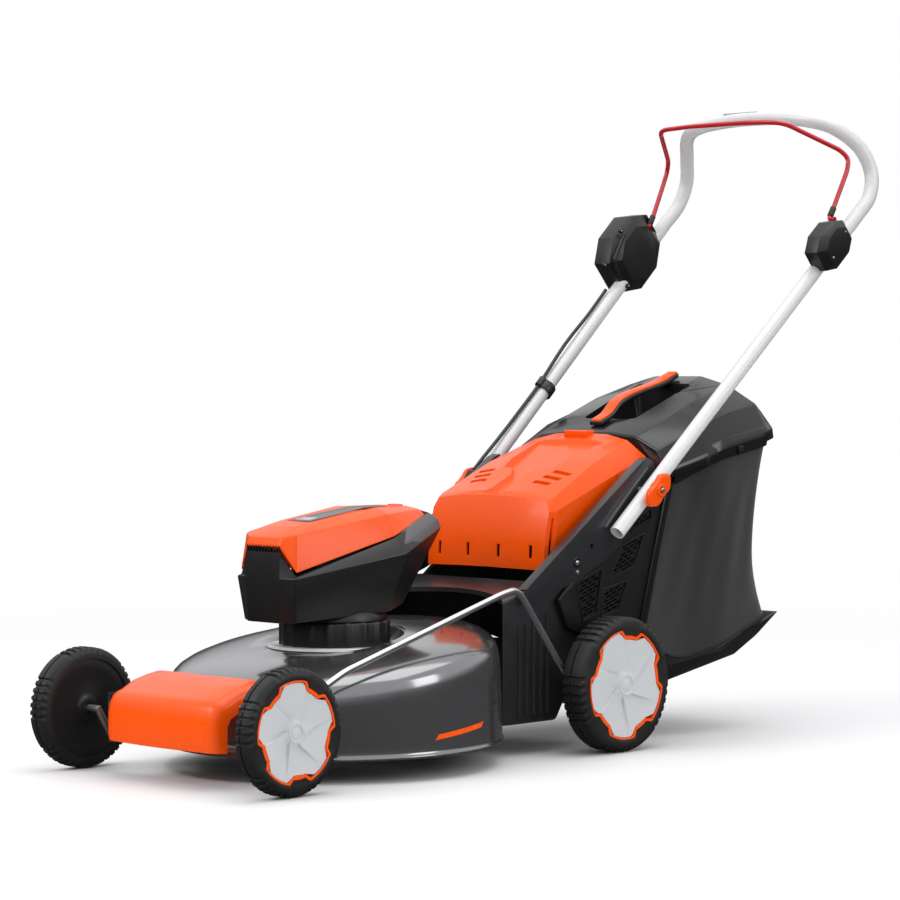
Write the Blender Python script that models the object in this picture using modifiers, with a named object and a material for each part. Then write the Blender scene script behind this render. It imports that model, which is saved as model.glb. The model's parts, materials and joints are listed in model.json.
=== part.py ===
"""A cordless rotary lawn mower with a rear grass collector, as separate pieces joined by real joints.

Metres, +Z up. The front of the mower faces -Y, the operator stands behind the handle at +Y, and +X is on
the operator's left. Every point below is written with y = 0 midway between the two wheel axles. The whole
object hangs from the empty "mower", which moves that point so that the origin is at the middle of the
object's footprint, on the ground.
"""

import math

import bmesh
import bpy
from mathutils import Matrix, Vector

# Driving dimensions
FRONT_WHEEL_R = 0.090
REAR_WHEEL_R = 0.105
WHEELBASE = 0.695
WHEEL_FACE_X = 0.2437
FRONT_TYRE_W = 0.036
REAR_TYRE_W = 0.048
HANDLE_TUBE_R = 0.012
BAIL_R = 0.004
CABLE_R = 0.0033
BLADE_R = 0.228
WHEEL_STEPS = 28
SHEET = 0.003
GAP = 0.0003
ORIGIN_Y = 0.3005

# Places that several pieces share
FRONT_AXLE = (0, -WHEELBASE / 2, FRONT_WHEEL_R)
REAR_AXLE = (0, WHEELBASE / 2, REAR_WHEEL_R)
CRANK = (0.0225, -0.038)
FRONT_CRANK = (FRONT_AXLE[1] + CRANK[0], FRONT_AXLE[2] + CRANK[1])
REAR_CRANK = (REAR_AXLE[1] + CRANK[0], REAR_AXLE[2] + CRANK[1])
LINK_PIN = (0.022, 0.070)
SPINDLE = (0, -0.045)
DECK_R = 0.254
DECK_LIP_Z = 0.032
DECK_TOP_Z = 0.186
PAD_Z = 0.175
PAD_R = 0.102
DECK_TILT = 0.155
FOLD_AXIS = (0.459, 0.402)
HANDLE_LOW = Vector((0.186, 0.388, 0.336))
HANDLE_HIGH = Vector((0.2125, 0.975, 0.853))
FLAP_AXIS = (0.300, 0.288)
LID_AXIS = (-0.181, 0.300)
BAIL_AXIS = (0.915, 0.845)
BOX_CENTRE = (0.222, 0.884, 0.800)
BUTTON_R = 0.009

COLOURS = {
    "deck_paint": ((0.035, 0.036, 0.040), 0.22, 0.6),
    "black_plastic": ((0.018, 0.018, 0.019), 0.45, 0.0),
    "orange_plastic": ((0.90, 0.13, 0.01), 0.25, 0.0),
    "grey_plastic": ((0.62, 0.64, 0.66), 0.40, 0.0),
    "badge_grey": ((0.30, 0.31, 0.32), 0.40, 0.1),
    "white_tube": ((0.78, 0.79, 0.80), 0.30, 0.2),
    "red_wire": ((0.62, 0.01, 0.02), 0.25, 0.0),
    "zinc_steel": ((0.62, 0.63, 0.64), 0.30, 1.0),
    "tyre_rubber": ((0.016, 0.016, 0.016), 0.80, 0.0),
    "mesh_fabric": ((0.025, 0.025, 0.026), 0.90, 0.0),
    "board_green": ((0.02, 0.16, 0.06), 0.50, 0.0),
    "copper_steel": ((0.35, 0.20, 0.13), 0.40, 0.8),
}


def clear_scene():
    for item in list(bpy.data.objects):
        bpy.data.objects.remove(item, do_unlink=True)


def make_collection(name, hidden=False):
    made = bpy.data.collections.new(name)
    bpy.context.scene.collection.children.link(made)
    made.hide_render = hidden
    return made


def material(slot):
    found = bpy.data.materials.get(slot)
    if found:
        return found
    colour, roughness, metallic = COLOURS[slot]
    made = bpy.data.materials.new(slot)
    made.use_nodes = True
    shader = made.node_tree.nodes["Principled BSDF"]
    shader.inputs["Base Color"].default_value = (*colour, 1)
    shader.inputs["Roughness"].default_value = roughness
    shader.inputs["Metallic"].default_value = metallic
    made.diffuse_color = (*colour, 1)
    return made


clear_scene()
PARTS = make_collection("lawn_mower")
CUTTERS = make_collection("cutters", hidden=True)
MOWER = bpy.data.objects.new("mower", None)
PARTS.objects.link(MOWER)
MOWER.location = (0, -ORIGIN_Y, 0)


def add(name, mesh, slot=None, at=(0, 0, 0), smooth=None):
    """A mesh as an object whose origin is at the point given, with its vertices left where they are."""
    mesh.transform(Matrix.Translation(-Vector(at)))
    made = bpy.data.objects.new(name, mesh)
    made.location = at
    made.parent = MOWER
    if slot:
        made.data.materials.append(material(slot))
        PARTS.objects.link(made)
    else:
        CUTTERS.objects.link(made)
        made.hide_render = True
        made.display_type = "WIRE"
    if smooth:
        mesh.shade_smooth()
        mesh.set_sharp_from_angle(angle=math.radians(smooth))
    return made


def mesh_of(bm, name="shape"):
    bmesh.ops.recalc_face_normals(bm, faces=bm.faces)
    mesh = bpy.data.meshes.new(name)
    bm.to_mesh(mesh)
    bm.free()
    return mesh


def box_bm(low, high, bm=None):
    bm = bm or bmesh.new()
    low, high = Vector(low), Vector(high)
    made = bmesh.ops.create_cube(bm, size=1)
    middle, size = (low + high) / 2, high - low
    bmesh.ops.scale(bm, vec=size, verts=made["verts"])
    bmesh.ops.translate(bm, vec=middle, verts=made["verts"])
    return bm


def sorted_corners(a, b):
    """Two opposite corners as the lowest and the highest."""
    return tuple(map(min, zip(a, b))), tuple(map(max, zip(a, b)))


def rod_bm(start, end, radius, sides=16, end_radius=None, bm=None):
    """A cylinder or cone between two points."""
    bm = bm or bmesh.new()
    start, end = Vector(start), Vector(end)
    along = end - start
    made = bmesh.ops.create_cone(
        bm,
        cap_ends=True,
        segments=sides,
        radius1=radius,
        radius2=radius if end_radius is None else end_radius,
        depth=along.length,
    )
    turn = along.to_track_quat("Z", "Y").to_matrix().to_4x4()
    place = Matrix.Translation((start + end) / 2) @ turn
    bmesh.ops.transform(bm, matrix=place, verts=made["verts"])
    return bm


def plate_bm(outline, x0, x1):
    """A flat outline of (y, z) points, extruded from x0 to x1."""
    bm = bmesh.new()
    near = [bm.verts.new((x0, y, z)) for y, z in outline]
    face = bm.faces.new(near)
    pushed = bmesh.ops.extrude_face_region(bm, geom=[face])
    moved = [v for v in pushed["geom"] if isinstance(v, bmesh.types.BMVert)]
    bmesh.ops.translate(bm, vec=(x1 - x0, 0, 0), verts=moved)
    return bm


def both_sides(half):
    """A half outline of (x, y, z) points from front to rear, closed by its mirror image."""
    return list(half) + [(-x, y, z) for x, y, z in reversed(half) if x > 1e-6]


def loft_bm(rings, cap_low=True, cap_high=True):
    """A skin through rings that all have the same number of points."""
    bm = bmesh.new()
    loops = [[bm.verts.new(point) for point in ring] for ring in rings]
    for low, high in zip(loops, loops[1:]):
        for i in range(len(low)):
            j = (i + 1) % len(low)
            bm.faces.new((low[i], low[j], high[j], high[i]))
    if cap_low:
        bm.faces.new(loops[0])
    if cap_high:
        bm.faces.new(loops[-1])
    return bm


def turned(name, profile, slot, place, steps=40, smooth=40, turn=None):
    """A closed profile of (radius, height) points turned about its own Z axis with a Screw modifier."""
    mesh = bpy.data.meshes.new(name)
    count = len(profile)
    edges = [(i, (i + 1) % count) for i in range(count)]
    mesh.from_pydata([(r, 0, z) for r, z in profile], edges, [])
    made = add(name, mesh, slot)
    made.matrix_local = Matrix.Translation(place) @ (turn or Matrix.Identity(4))
    screw = made.modifiers.new("turn", "SCREW")
    screw.steps = screw.render_steps = steps
    screw.merge_threshold = 0.00001
    screw.use_merge_vertices = True
    screw.use_smooth_shade = True
    return made


def sideways(side):
    """Turns a piece's own Z axis to point outwards on the side given, +1 or -1."""
    return Matrix.Rotation(math.radians(90 * side), 4, "Y")


def tube(name, points, radius, slot, at=(0, 0, 0), sides=2, closed=False):
    curve = bpy.data.curves.new(name, "CURVE")
    curve.dimensions = "3D"
    curve.bevel_depth = radius
    curve.bevel_resolution = sides
    curve.use_fill_caps = True
    curve.twist_mode = "MINIMUM"
    line = curve.splines.new("POLY")
    line.points.add(len(points) - 1)
    for spot, point in zip(line.points, points):
        spot.co = (*(Vector(point) - Vector(at)), 1)
    line.use_cyclic_u = closed
    made = bpy.data.objects.new(name, curve)
    made.location = at
    made.parent = MOWER
    curve.materials.append(material(slot))
    PARTS.objects.link(made)
    return made


def to_mesh(item):
    """The same object as a mesh with welded caps, so that it can be cut or joined."""
    bpy.context.view_layer.update()
    evaluated = item.evaluated_get(bpy.context.evaluated_depsgraph_get())
    mesh = bpy.data.meshes.new_from_object(evaluated)
    bm = bmesh.new()
    bm.from_mesh(mesh)
    bmesh.ops.remove_doubles(bm, verts=bm.verts, dist=1e-6)
    bm.to_mesh(mesh)
    bm.free()
    name, place = item.name, item.matrix_local.copy()
    bpy.data.objects.remove(item, do_unlink=True)
    made = bpy.data.objects.new(name, mesh)
    made.parent = MOWER
    made.matrix_local = place
    PARTS.objects.link(made)
    return made


def boolean(item, other, operation="DIFFERENCE"):
    step = item.modifiers.new(operation.lower(), "BOOLEAN")
    step.object = other
    step.operation = operation
    step.solver = "EXACT"
    return item


def cut(item, bm):
    return boolean(item, add(item.name + "_cutter", mesh_of(bm)))


def join(item, bm):
    return boolean(item, add(item.name + "_joined", mesh_of(bm)), "UNION")


def bevel(item, width, segments=1, angle=40):
    step = item.modifiers.new("edges", "BEVEL")
    step.width = width
    step.segments = segments
    step.limit_method = "ANGLE"
    step.angle_limit = math.radians(angle)
    return item


def smooth_path(points, per_span=5):
    """Points along a Catmull-Rom curve through the ones given."""
    points = [Vector(p) for p in points]
    ends = [2 * points[0] - points[1], *points, 2 * points[-1] - points[-2]]
    path = []
    for p0, p1, p2, p3 in zip(ends, ends[1:], ends[2:], ends[3:]):
        for step in range(per_span):
            t = step / per_span
            path.append(
                0.5 * (2 * p1 + (p2 - p0) * t + (2 * p0 - 5 * p1 + 4 * p2 - p3) * t * t
                       + (3 * p1 - p0 - 3 * p2 + p3) * t ** 3)
            )
    return path + [points[-1]]


def mirrored(path):
    return [Vector((-p[0], p[1], p[2])) for p in path]


def on_handle(fraction, side=1):
    point = HANDLE_LOW.lerp(HANDLE_HIGH, fraction)
    return Vector((side * point.x, point.y, point.z))


def deck_rise(y):
    """How much higher the deck's top is at y than over the spindle."""
    return DECK_TILT * (y - SPINDLE[1])


# The deck and what is fixed to it

def deck_ring(r, drop, level=None, steps=48):
    """One ring of the deck's skin: tilted towards the lip, or level at the height given."""
    ring = []
    for k in range(steps):
        angle = 2 * math.pi * k / steps
        x, y = r * math.cos(angle), SPINDLE[1] + r * math.sin(angle)
        share = 1 - drop / (DECK_TOP_Z - DECK_LIP_Z)
        ring.append((x, y, DECK_TOP_Z - drop + share * deck_rise(y) if level is None else level))
    return ring


def deck_shell():
    """The pressed cutting deck: a level motor pad, a dome that rises to the rear, a skirt and a lip."""
    skin = [(0.107, 0.000), (0.165, 0.002), (0.205, 0.008), (0.232, 0.022), (0.246, 0.045),
            (DECK_R - 0.002, 0.090), (DECK_R, 0.150), (DECK_R + 0.002, 0.154)]
    outer = [deck_ring(PAD_R, 0, PAD_Z)] + [deck_ring(r, drop) for r, drop in skin]
    inner = [deck_ring(r - SHEET, drop + (SHEET if drop < 0.1 else 0)) for r, drop in reversed(skin)]
    inner.append(deck_ring(PAD_R - SHEET, 0, PAD_Z - SHEET))
    item = add("deck_shell", mesh_of(loft_bm(outer + inner)), "deck_paint", smooth=35)
    cut(item, rod_bm((0, SPINDLE[1], 0.10), (0, SPINDLE[1], 0.25), 0.030, 24))
    cut(item, box_bm((-0.135, 0.10, 0.062), (0.135, 0.26, 0.178)))
    return item


def rear_chute():
    """The body behind the deck: the grass tunnel, the sloping top under the flap and the two side walls."""
    side = [(0.10, 0.048), (0.10, 0.200), (0.160, 0.240), (0.270, 0.262), (0.330, 0.262),
            (0.420, 0.330), (0.430, 0.170), (0.330, 0.118), (0.285, 0.048)]
    item = add("rear_chute", mesh_of(plate_bm(side, -0.154, 0.154)), "deck_paint")
    inside = [(0.05, 0.064), (0.05, 0.190), (0.160, 0.232), (0.272, 0.256), (0.300, 0.30),
              (0.50, 0.50), (0.50, 0.180), (0.335, 0.126), (0.240, 0.060), (0.150, 0.040)]
    cut(item, plate_bm(inside, -0.150, 0.150))
    return cut(item, rod_bm((0, SPINDLE[1], 0), (0, SPINDLE[1], 0.4), DECK_R + 0.0035, 56))


def bracket(side):
    """A pressed plate beside the tunnel that carries the handle, with a flange along its top."""
    name = "handle_bracket_" + ("left" if side > 0 else "right")
    outline = [(0.196, 0.236), (0.196, 0.258), (0.215, 0.272), (0.470, 0.448), (0.494, 0.446),
               (0.497, 0.424), (0.440, 0.340), (0.385, 0.296), (0.270, 0.250)]
    item = add(name, mesh_of(plate_bm(outline, side * 0.1680, side * 0.1710)), "deck_paint")
    top = [(0.196, 0.258), (0.215, 0.272), (0.470, 0.448), (0.472, 0.445), (0.217, 0.269),
           (0.199, 0.257)]
    join(item, plate_bm(top, side * 0.1560, side * 0.1700))
    cut(item, rod_bm((side * 0.160, *FOLD_AXIS), (side * 0.180, *FOLD_AXIS), 0.0045, 16))
    return item


def bracket_bolt(side):
    """The carriage bolt that the wing knob screws onto."""
    name = "bracket_bolt_" + ("left" if side > 0 else "right")
    bm = rod_bm((side * 0.1640, *FOLD_AXIS), (side * 0.1677, *FOLD_AXIS), 0.0075, 6)
    item = add(name, mesh_of(bm), "zinc_steel")
    return join(item, rod_bm((side * 0.1660, *FOLD_AXIS), (side * 0.1740, *FOLD_AXIS), 0.0040, 12))


def front_cover():
    """The curved hood over the front axle, open underneath."""
    def ring(x, drop, front):
        top = 0.128 - drop
        return [(x, front, 0.053), (x, front - 0.003, 0.085), (x, front + 0.006, top - 0.008),
                (x, front + 0.022, top), (x, -0.330, top + 0.016), (x, -0.300, top + 0.022),
                (x, -0.300, top + 0.019), (x, -0.330, top + 0.013), (x, front + 0.024, top - 0.003),
                (x, front + 0.009, top - 0.010), (x, front, 0.085), (x, front + 0.003, 0.053)]
    half = [(0.122, 0.008, -0.386), (0.112, 0.001, -0.391), (0.055, 0.0, -0.396)]
    stations = [(-x, *rest) for x, *rest in half] + [(0.0, 0.0, -0.398)] + half[::-1]
    skin = loft_bm([ring(*s) for s in stations])
    item = add("front_cover", mesh_of(skin), "orange_plastic", smooth=30)
    return cut(item, rod_bm((0, SPINDLE[1], 0), (0, SPINDLE[1], 0.4), DECK_R + 0.004, 56))


def axle_bracket(name, crank, half_width, top, rear):
    """A pressed channel across the mower, with an ear at each end that the axle turns in."""
    y, z = crank
    channel = box_bm((-half_width, y - 0.014, top), (half_width, rear, top + SHEET))
    item = add(name, mesh_of(channel), "deck_paint")
    outline = [(y - 0.012, z - 0.012), (y - 0.0135, top + 0.002), (rear - 0.0005, top + 0.002),
               (y + 0.012, z - 0.012)]
    for side in (1, -1):
        join(item, plate_bm(outline, side * (half_width - 0.0044), side * (half_width - 0.0004)))
    return cut(item, rod_bm((-0.25, y, z), (0.25, y, z), 0.0063, 20))


def motor_base():
    """The fluted ring that the motor stands on."""
    steps, flutes = 72, 18
    low, high = PAD_Z + GAP, 0.2170
    rings = []
    for z, inset in ((low, 0.0), (high - 0.004, 0.0), (high, 0.004)):
        ring = []
        for k in range(steps):
            angle = 2 * math.pi * k / steps
            r = 0.084 - inset - 0.0028 * (1 + math.cos(flutes * angle)) / 2
            ring.append((r * math.cos(angle), SPINDLE[1] + r * math.sin(angle), z))
        rings.append(ring)
    item = add("motor_base", mesh_of(loft_bm(rings)), "black_plastic")
    return cut(item, rod_bm((0, SPINDLE[1], 0.17), (0, SPINDLE[1], 0.25), 0.0625, 32))


def motor():
    """The stator, as one solid ring round the shaft."""
    z = PAD_Z + GAP
    profile = [(0.0095, 0.068), (0.056, 0.068), (0.0620, 0.062), (0.0620, 0.0), (0.0095, 0.0)]
    return turned("motor_stator", profile, "copper_steel", (0, SPINDLE[1], z), 28)


# Half outlines of the motor housing and its lid, from front to rear, each one ring of the skin
HOUSING_BOTTOM = [(0.036, -0.187, 0.219), (0.056, -0.176, 0.2205), (0.08, -0.01, 0.229), (0.045, 0.055, 0.236)]
HOUSING_BELT = [(0.036, -0.192, 0.285), (0.064, -0.184, 0.286), (0.100, 0.011, 0.317), (0.062, 0.122, 0.351)]
HOUSING_RIM = [(0.036, -0.190, 0.325), (0.060, -0.180, 0.2885), (0.084, 0.000, 0.340), (0.052, 0.098, 0.368)]
LID_EDGE = [(0.036, -0.190, 0.3338), (0.060, -0.180, 0.2938), (0.084, 0.000, 0.3418), (0.052, 0.098, 0.3698)]
LID_CREASE = [(0.034, -0.186, 0.345), (0.054, -0.174, 0.350), (0.070, 0.000, 0.375), (0.044, 0.092, 0.379)]
LID_TOP = [(0.026, -0.150, 0.361), (0.036, -0.120, 0.367), (0.044, 0.000, 0.384), (0.030, 0.078, 0.384)]


def inset(points, by, up=0.0):
    """The same half outline pulled towards the middle of the housing."""
    return [(x - by, y + (by if y < -0.05 else -by), z + up) for x, y, z in points]


def housing():
    """The faceted tub that holds the battery, open at the top and round the motor underneath."""
    rings = [both_sides(r) for r in (HOUSING_BOTTOM, HOUSING_BELT, HOUSING_RIM)]
    item = add("motor_housing", mesh_of(loft_bm(rings)), "black_plastic")
    wall = 0.003
    floor = inset(HOUSING_BOTTOM, wall, wall)
    belt = inset(HOUSING_BELT, wall + 0.001)
    rim = inset(HOUSING_RIM, wall)
    above = [(x, y, z + 0.03) for x, y, z in rim]
    cut(item, loft_bm([both_sides(r) for r in (floor, belt, rim, above)]))
    cut(item, rod_bm((0, SPINDLE[1], 0.20), (0, SPINDLE[1], 0.26), 0.0630, 32))
    return cut(item, rod_bm((-0.07, *LID_AXIS), (0.07, *LID_AXIS), 0.0027, 10))


BADGE = [(0.024, -0.118, 0.3668), (0.022, -0.060, 0.3750), (0.019, 0.000, 0.3832), (0.016, 0.050, 0.3840)]


def badge_bm(low, high, grow=0.0):
    """A slab along the lid's top between two heights above the badge's outline."""
    rings = []
    for (x, y, z), end in zip(BADGE, (-grow, 0, 0, grow)):
        x += grow
        y += end
        rings.append([(x, y, z + low), (x, y, z + high), (-x, y, z + high), (-x, y, z + low)])
    return loft_bm(rings)


def battery_lid():
    """The hinged hood over the battery, with a recess in its top for the badge plate."""
    rings = [both_sides(r) for r in (LID_EDGE, LID_CREASE, LID_TOP)]
    item = add("battery_lid", mesh_of(loft_bm(rings)), "orange_plastic", at=(0, *LID_AXIS))
    wall = 0.003
    under = [(x, y, z - 0.02) for x, y, z in inset(LID_EDGE, wall)]
    inside = (under, inset(LID_CREASE, wall, -wall), inset(LID_TOP, wall, -wall))
    cut(item, loft_bm([both_sides(r) for r in inside]))
    cut(item, badge_bm(-0.0012, 0.02, 0.0006))
    return cut(item, rod_bm((-0.07, *LID_AXIS), (0.07, *LID_AXIS), 0.0028, 10))


def lid_badge():
    """The tapered grey plate let into the top of the lid."""
    return add("lid_badge", mesh_of(badge_bm(-0.0008, 0.0010)), "badge_grey", at=(0, *LID_AXIS))


def lid_hinge():
    bm = rod_bm((-0.052, *LID_AXIS), (0.052, *LID_AXIS), 0.0022, 10)
    return add("lid_hinge_pin", mesh_of(bm), "zinc_steel")


def battery():
    pack = box_bm((-0.052, -0.132, 0.2500), (0.052, 0.030, 0.3260))
    return bevel(add("battery_pack", mesh_of(pack), "black_plastic"), 0.004)


def controller():
    board = box_bm((-0.030, 0.050, 0.2600), (0.030, 0.053, 0.3350))
    return add("control_board", mesh_of(board), "board_green")


# The blade and its shaft, which turn together

def blade():
    """The flat cutting bar, with a lifted wing behind each cutting edge."""
    y = SPINDLE[1]
    bm = box_bm((-BLADE_R, y - 0.027, 0.0500), (BLADE_R, y + 0.027, 0.0530))
    item = add("blade", mesh_of(bm), "zinc_steel", at=(0, y, 0.05))
    for side in (-1, 1):
        wing = [(0.022, 0.0505), (0.022, 0.0525), (0.040, 0.068), (0.041, 0.0655)]
        wing = [(y - side * behind, z) for behind, z in wing]
        join(item, plate_bm(wing, side * 0.150, side * (BLADE_R - 0.004)))
    return cut(item, rod_bm((0, y, 0.04), (0, y, 0.07), 0.0085, 16))


def shaft():
    y = SPINDLE[1]
    rod = rod_bm((0, y, 0.0420), (0, y, 0.2380), 0.0080, 16)
    return add("rotor_shaft", mesh_of(rod), "zinc_steel", at=(0, y, 0.05))


def blade_hub():
    y = SPINDLE[1]
    profile = [(0.0083, 0.026), (0.018, 0.026), (0.018, 0.010), (0.030, 0.008), (0.030, 0.0), (0.0083, 0.0)]
    return turned("blade_hub", profile, "black_plastic", (0, y, 0.0530 + GAP), 24)


def blade_washer():
    profile = [(0.0083, SHEET), (0.022, SHEET), (0.022, 0.0), (0.0083, 0.0)]
    return turned("blade_washer", profile, "zinc_steel", (0, SPINDLE[1], 0.0500 - GAP - SHEET), 20)


# The wheels

def wheel(prefix, axle, radius, width, side):
    """A tyre, its rim and the cap over the rim's face. Their profiles have height 0 at the inner side."""
    x0 = side * (WHEEL_FACE_X - width)
    place = (x0, axle[1], axle[2])
    turn = sideways(side)
    ring = radius * 0.815
    tread = radius - 0.0035
    tyre = [(ring, width - 0.001), (radius - 0.006, width), (tread, width - 0.004), (radius, width - 0.010),
            (radius, 0.010), (tread, 0.004), (radius - 0.006, 0.0), (ring, 0.0)]
    turned(prefix + "_tyre", tyre, "tyre_rubber", place, WHEEL_STEPS, turn=turn)
    hub, web = 0.016, width * 0.45
    outer = ring - GAP
    rim = [(outer * 0.90, width - 0.002), (outer, width - 0.002), (outer, 0.002), (outer - 0.004, 0.002),
           (outer - 0.006, web), (hub, web), (hub, 0.004), (0.0062, 0.004), (0.0062, web + 0.004),
           (outer * 0.90, web + 0.004)]
    turned(prefix + "_rim", rim, "orange_plastic", place, WHEEL_STEPS, turn=turn)
    cap = [(0.0, width - 0.001), (0.012, width - 0.002), (0.020, width - 0.006), (outer * 0.5, width - 0.008),
           (outer * 0.89, width - 0.003), (outer * 0.89, width - 0.009), (outer * 0.5, width - 0.012),
           (0.0, width - 0.012)]
    turned(prefix + "_hub_cap", cap, "grey_plastic", place, 20, turn=turn)


def axle(name, crank, axle_point, arm_x):
    """A cross rod that turns in the deck's ears, with a bent arm and a stub for the wheel at each end."""
    y, z = crank
    stub = WHEEL_FACE_X - 0.012
    arm = arm_x + 0.006
    half = [(arm, y, z), (arm, axle_point[1], axle_point[2]), (stub, axle_point[1], axle_point[2])]
    path = mirrored(half)[::-1] + half
    return to_mesh(tube(name, path, 0.0060, "zinc_steel", at=(0, y, z)))


def link_arm(item, crank, x):
    """A flat arm on the axle at x, with the hole for one end of the tie rod."""
    y, z = crank
    pin_y, pin_z = y + LINK_PIN[0], z + LINK_PIN[1]
    along = Vector((0, LINK_PIN[0], LINK_PIN[1])).normalized()
    across = Vector((0, -along.z, along.y)) * 0.007
    outline = [(y - across.y - along.y * 0.006, z - across.z - along.z * 0.006),
               (pin_y - across.y + along.y * 0.007, pin_z - across.z + along.z * 0.007),
               (pin_y + across.y + along.y * 0.007, pin_z + across.z + along.z * 0.007),
               (y + across.y - along.y * 0.006, z + across.z - along.z * 0.006)]
    join(item, plate_bm(outline, x - 0.0015, x + 0.0015))
    return cut(item, rod_bm((x - 0.01, pin_y, pin_z), (x + 0.01, pin_y, pin_z), 0.0050, 16))


FRONT_PIN = (FRONT_CRANK[0] + LINK_PIN[0], FRONT_CRANK[1] + LINK_PIN[1])
REAR_PIN = (REAR_CRANK[0] + LINK_PIN[0], REAR_CRANK[1] + LINK_PIN[1])


def tie_rod():
    """The bent rod along the deck's side that turns the rear axle with the front one."""
    x = 0.1995
    path = [(0.1790, *FRONT_PIN), (x, *FRONT_PIN), (x, -0.215, 0.162), (x, 0.110, 0.2545), (x, 0.139, 0.2600),
            (x, 0.155, 0.250), (0.190, 0.252, 0.138), (0.187, 0.272, 0.122), (0.187, 0.330, 0.130),
            (0.187, *REAR_PIN), (0.1670, *REAR_PIN)]
    return tube("tie_rod", path, 0.0045, "zinc_steel", at=(x, *FRONT_PIN))


# The handle

def handle_tube():
    """The bent tube, open at both lower ends."""
    bend = [HANDLE_HIGH, (0.2115, 1.011, 0.886), (0.2045, 1.026, 0.928), (0.191, 1.011, 0.971),
            (0.162, 0.978, 1.004), (0.120, 0.957, 1.019), (0.060, 0.951, 1.026), (0.0, 0.950, 1.028)]
    half = [HANDLE_LOW, *smooth_path(bend, 3)]
    path = half + mirrored(half[:-1])[::-1]
    bent = tube("handle_tube", path, HANDLE_TUBE_R, "white_tube", at=(0, *FOLD_AXIS), sides=2)
    bent.data.use_fill_caps = False
    item = to_mesh(bent)
    wall = item.modifiers.new("wall", "SOLIDIFY")
    wall.thickness = 0.0015
    wall.offset = -1
    return item


def control_box(name, side, size):
    """A faceted housing clamped round the handle tube."""
    across, along, deep = size
    direction = (HANDLE_HIGH - HANDLE_LOW).normalized()
    direction.x *= side
    x_axis = Vector((side, 0, 0))
    up = direction.cross(x_axis) * side
    frame = Matrix((x_axis, direction, up)).transposed().to_4x4()
    centre = Vector((side * BOX_CENTRE[0], BOX_CENTRE[1], BOX_CENTRE[2]))
    rings = []
    for depth, grow in ((-0.5, 0.70), (-0.30, 1.0), (0.25, 1.0), (0.5, 0.72)):
        ring = []
        for u, v in ((-0.28, -0.5), (0.28, -0.5), (0.5, -0.22), (0.5, 0.20), (0.25, 0.5), (-0.25, 0.5),
                     (-0.5, 0.20), (-0.5, -0.22)):
            local = Vector((depth * across, v * along * grow, u * deep * grow))
            ring.append(centre + frame.to_3x3() @ local)
        rings.append(ring)
    item = add(name, mesh_of(loft_bm(rings)), "black_plastic", at=(0, *FOLD_AXIS))
    low, high = on_handle(0.7, side), on_handle(1.0, side)
    cut(item, rod_bm(low, high, HANDLE_TUBE_R + 0.0008, 16))
    y, z = BAIL_AXIS
    notch = sorted_corners((side * 0.170, y - 0.010, z - 0.008), (side * 0.2048, y + 0.10, z + 0.10))
    cut(item, box_bm(*notch))
    return cut(item, rod_bm((side * 0.19, y, z), (side * 0.2145, y, z), BAIL_R + 0.0005, 12))


def switch_box():
    """The right-hand box, with a bore for the start button that opens into the switch's pocket."""
    item = control_box("switch_box", -1, (0.062, 0.140, 0.116))
    _, y, z = BOX_CENTRE
    cut(item, rod_bm((-0.2320, y, z), (-0.2800, y, z), BUTTON_R + 0.0006, 18))
    return cut(item, box_bm((-0.2455, y - 0.011, z), (-0.2325, y + 0.015, z + 0.026)))


def bail_lever():
    """The red wire bail, which the operator squeezes against the handle."""
    half = [(0.2120, *BAIL_AXIS), (0.1992, *BAIL_AXIS), (0.1992, 0.928, 0.866), (0.202, 0.962, 0.930),
            (0.200, 0.968, 0.950), (0.190, 0.958, 0.964), (0.139, 0.876, 1.006), (0.120, 0.862, 1.010),
            (0.060, 0.858, 1.012), (0.0, 0.857, 1.012)]
    path = half + mirrored(half[:-1])[::-1]
    return tube("bail_lever", path, BAIL_R, "red_wire", at=(0, *BAIL_AXIS))


def start_button():
    """The button that is held in while the bail is pulled, on the outer face of the switch box."""
    centre = Vector((-0.2370, *BOX_CENTRE[1:]))
    bm = rod_bm(centre, centre + Vector((-0.0210, 0, 0)), BUTTON_R, 18)
    return add("start_button", mesh_of(bm), "orange_plastic", at=centre)


def beside_handle(fraction, off, aside=0.0):
    """A point off the right-hand tube's upper face, where the cable runs."""
    along = (HANDLE_HIGH - HANDLE_LOW).normalized()
    over = Vector((0, -along.z, along.y)).normalized()
    return on_handle(fraction, -1) + over * off + Vector((-aside, 0, 0))


# The share of the way up the tube, the distance off it and the distance aside
CABLE_RUN = [(0.742, 0.0170, 0.004), (0.715, 0.0165, 0.004), (0.65, 0.0170, 0.003), (0.55, 0.0200, 0.003),
             (0.43, 0.0165, 0.0), (0.35, 0.0165, 0.0), (0.26, 0.0180, 0.0), (0.18, 0.0230, -0.003),
             (0.135, 0.0260, -0.006)]


def cable():
    """The lead from the switch box down the handle tube, held by one clip, into the boot on the bracket."""
    path = smooth_path([beside_handle(*spot) for spot in CABLE_RUN], 3)
    return tube("cable", path, CABLE_R, "black_plastic", at=(0, *FOLD_AXIS))


def cable_boot():
    """The tapered strain relief at the end of the cable, which turns with the handle."""
    start = beside_handle(0.128, 0.0262, -0.0045)
    end = Vector((-0.1862, 0.430, 0.402))
    cone = rod_bm(start, end, 0.0070, 16, 0.0055)
    return add("cable_boot", mesh_of(cone), "black_plastic", at=(0, *FOLD_AXIS))


def cable_lead():
    """The last stretch of the lead, which runs down the bracket between its plate and the handle tube."""
    path = smooth_path([(-0.1744, 0.424, 0.393), (-0.1744, 0.400, 0.372), (-0.1744, 0.340, 0.322),
                        (-0.1744, 0.280, 0.278)], 2)
    return tube("cable_lead", path, 0.0027, "black_plastic")


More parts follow.
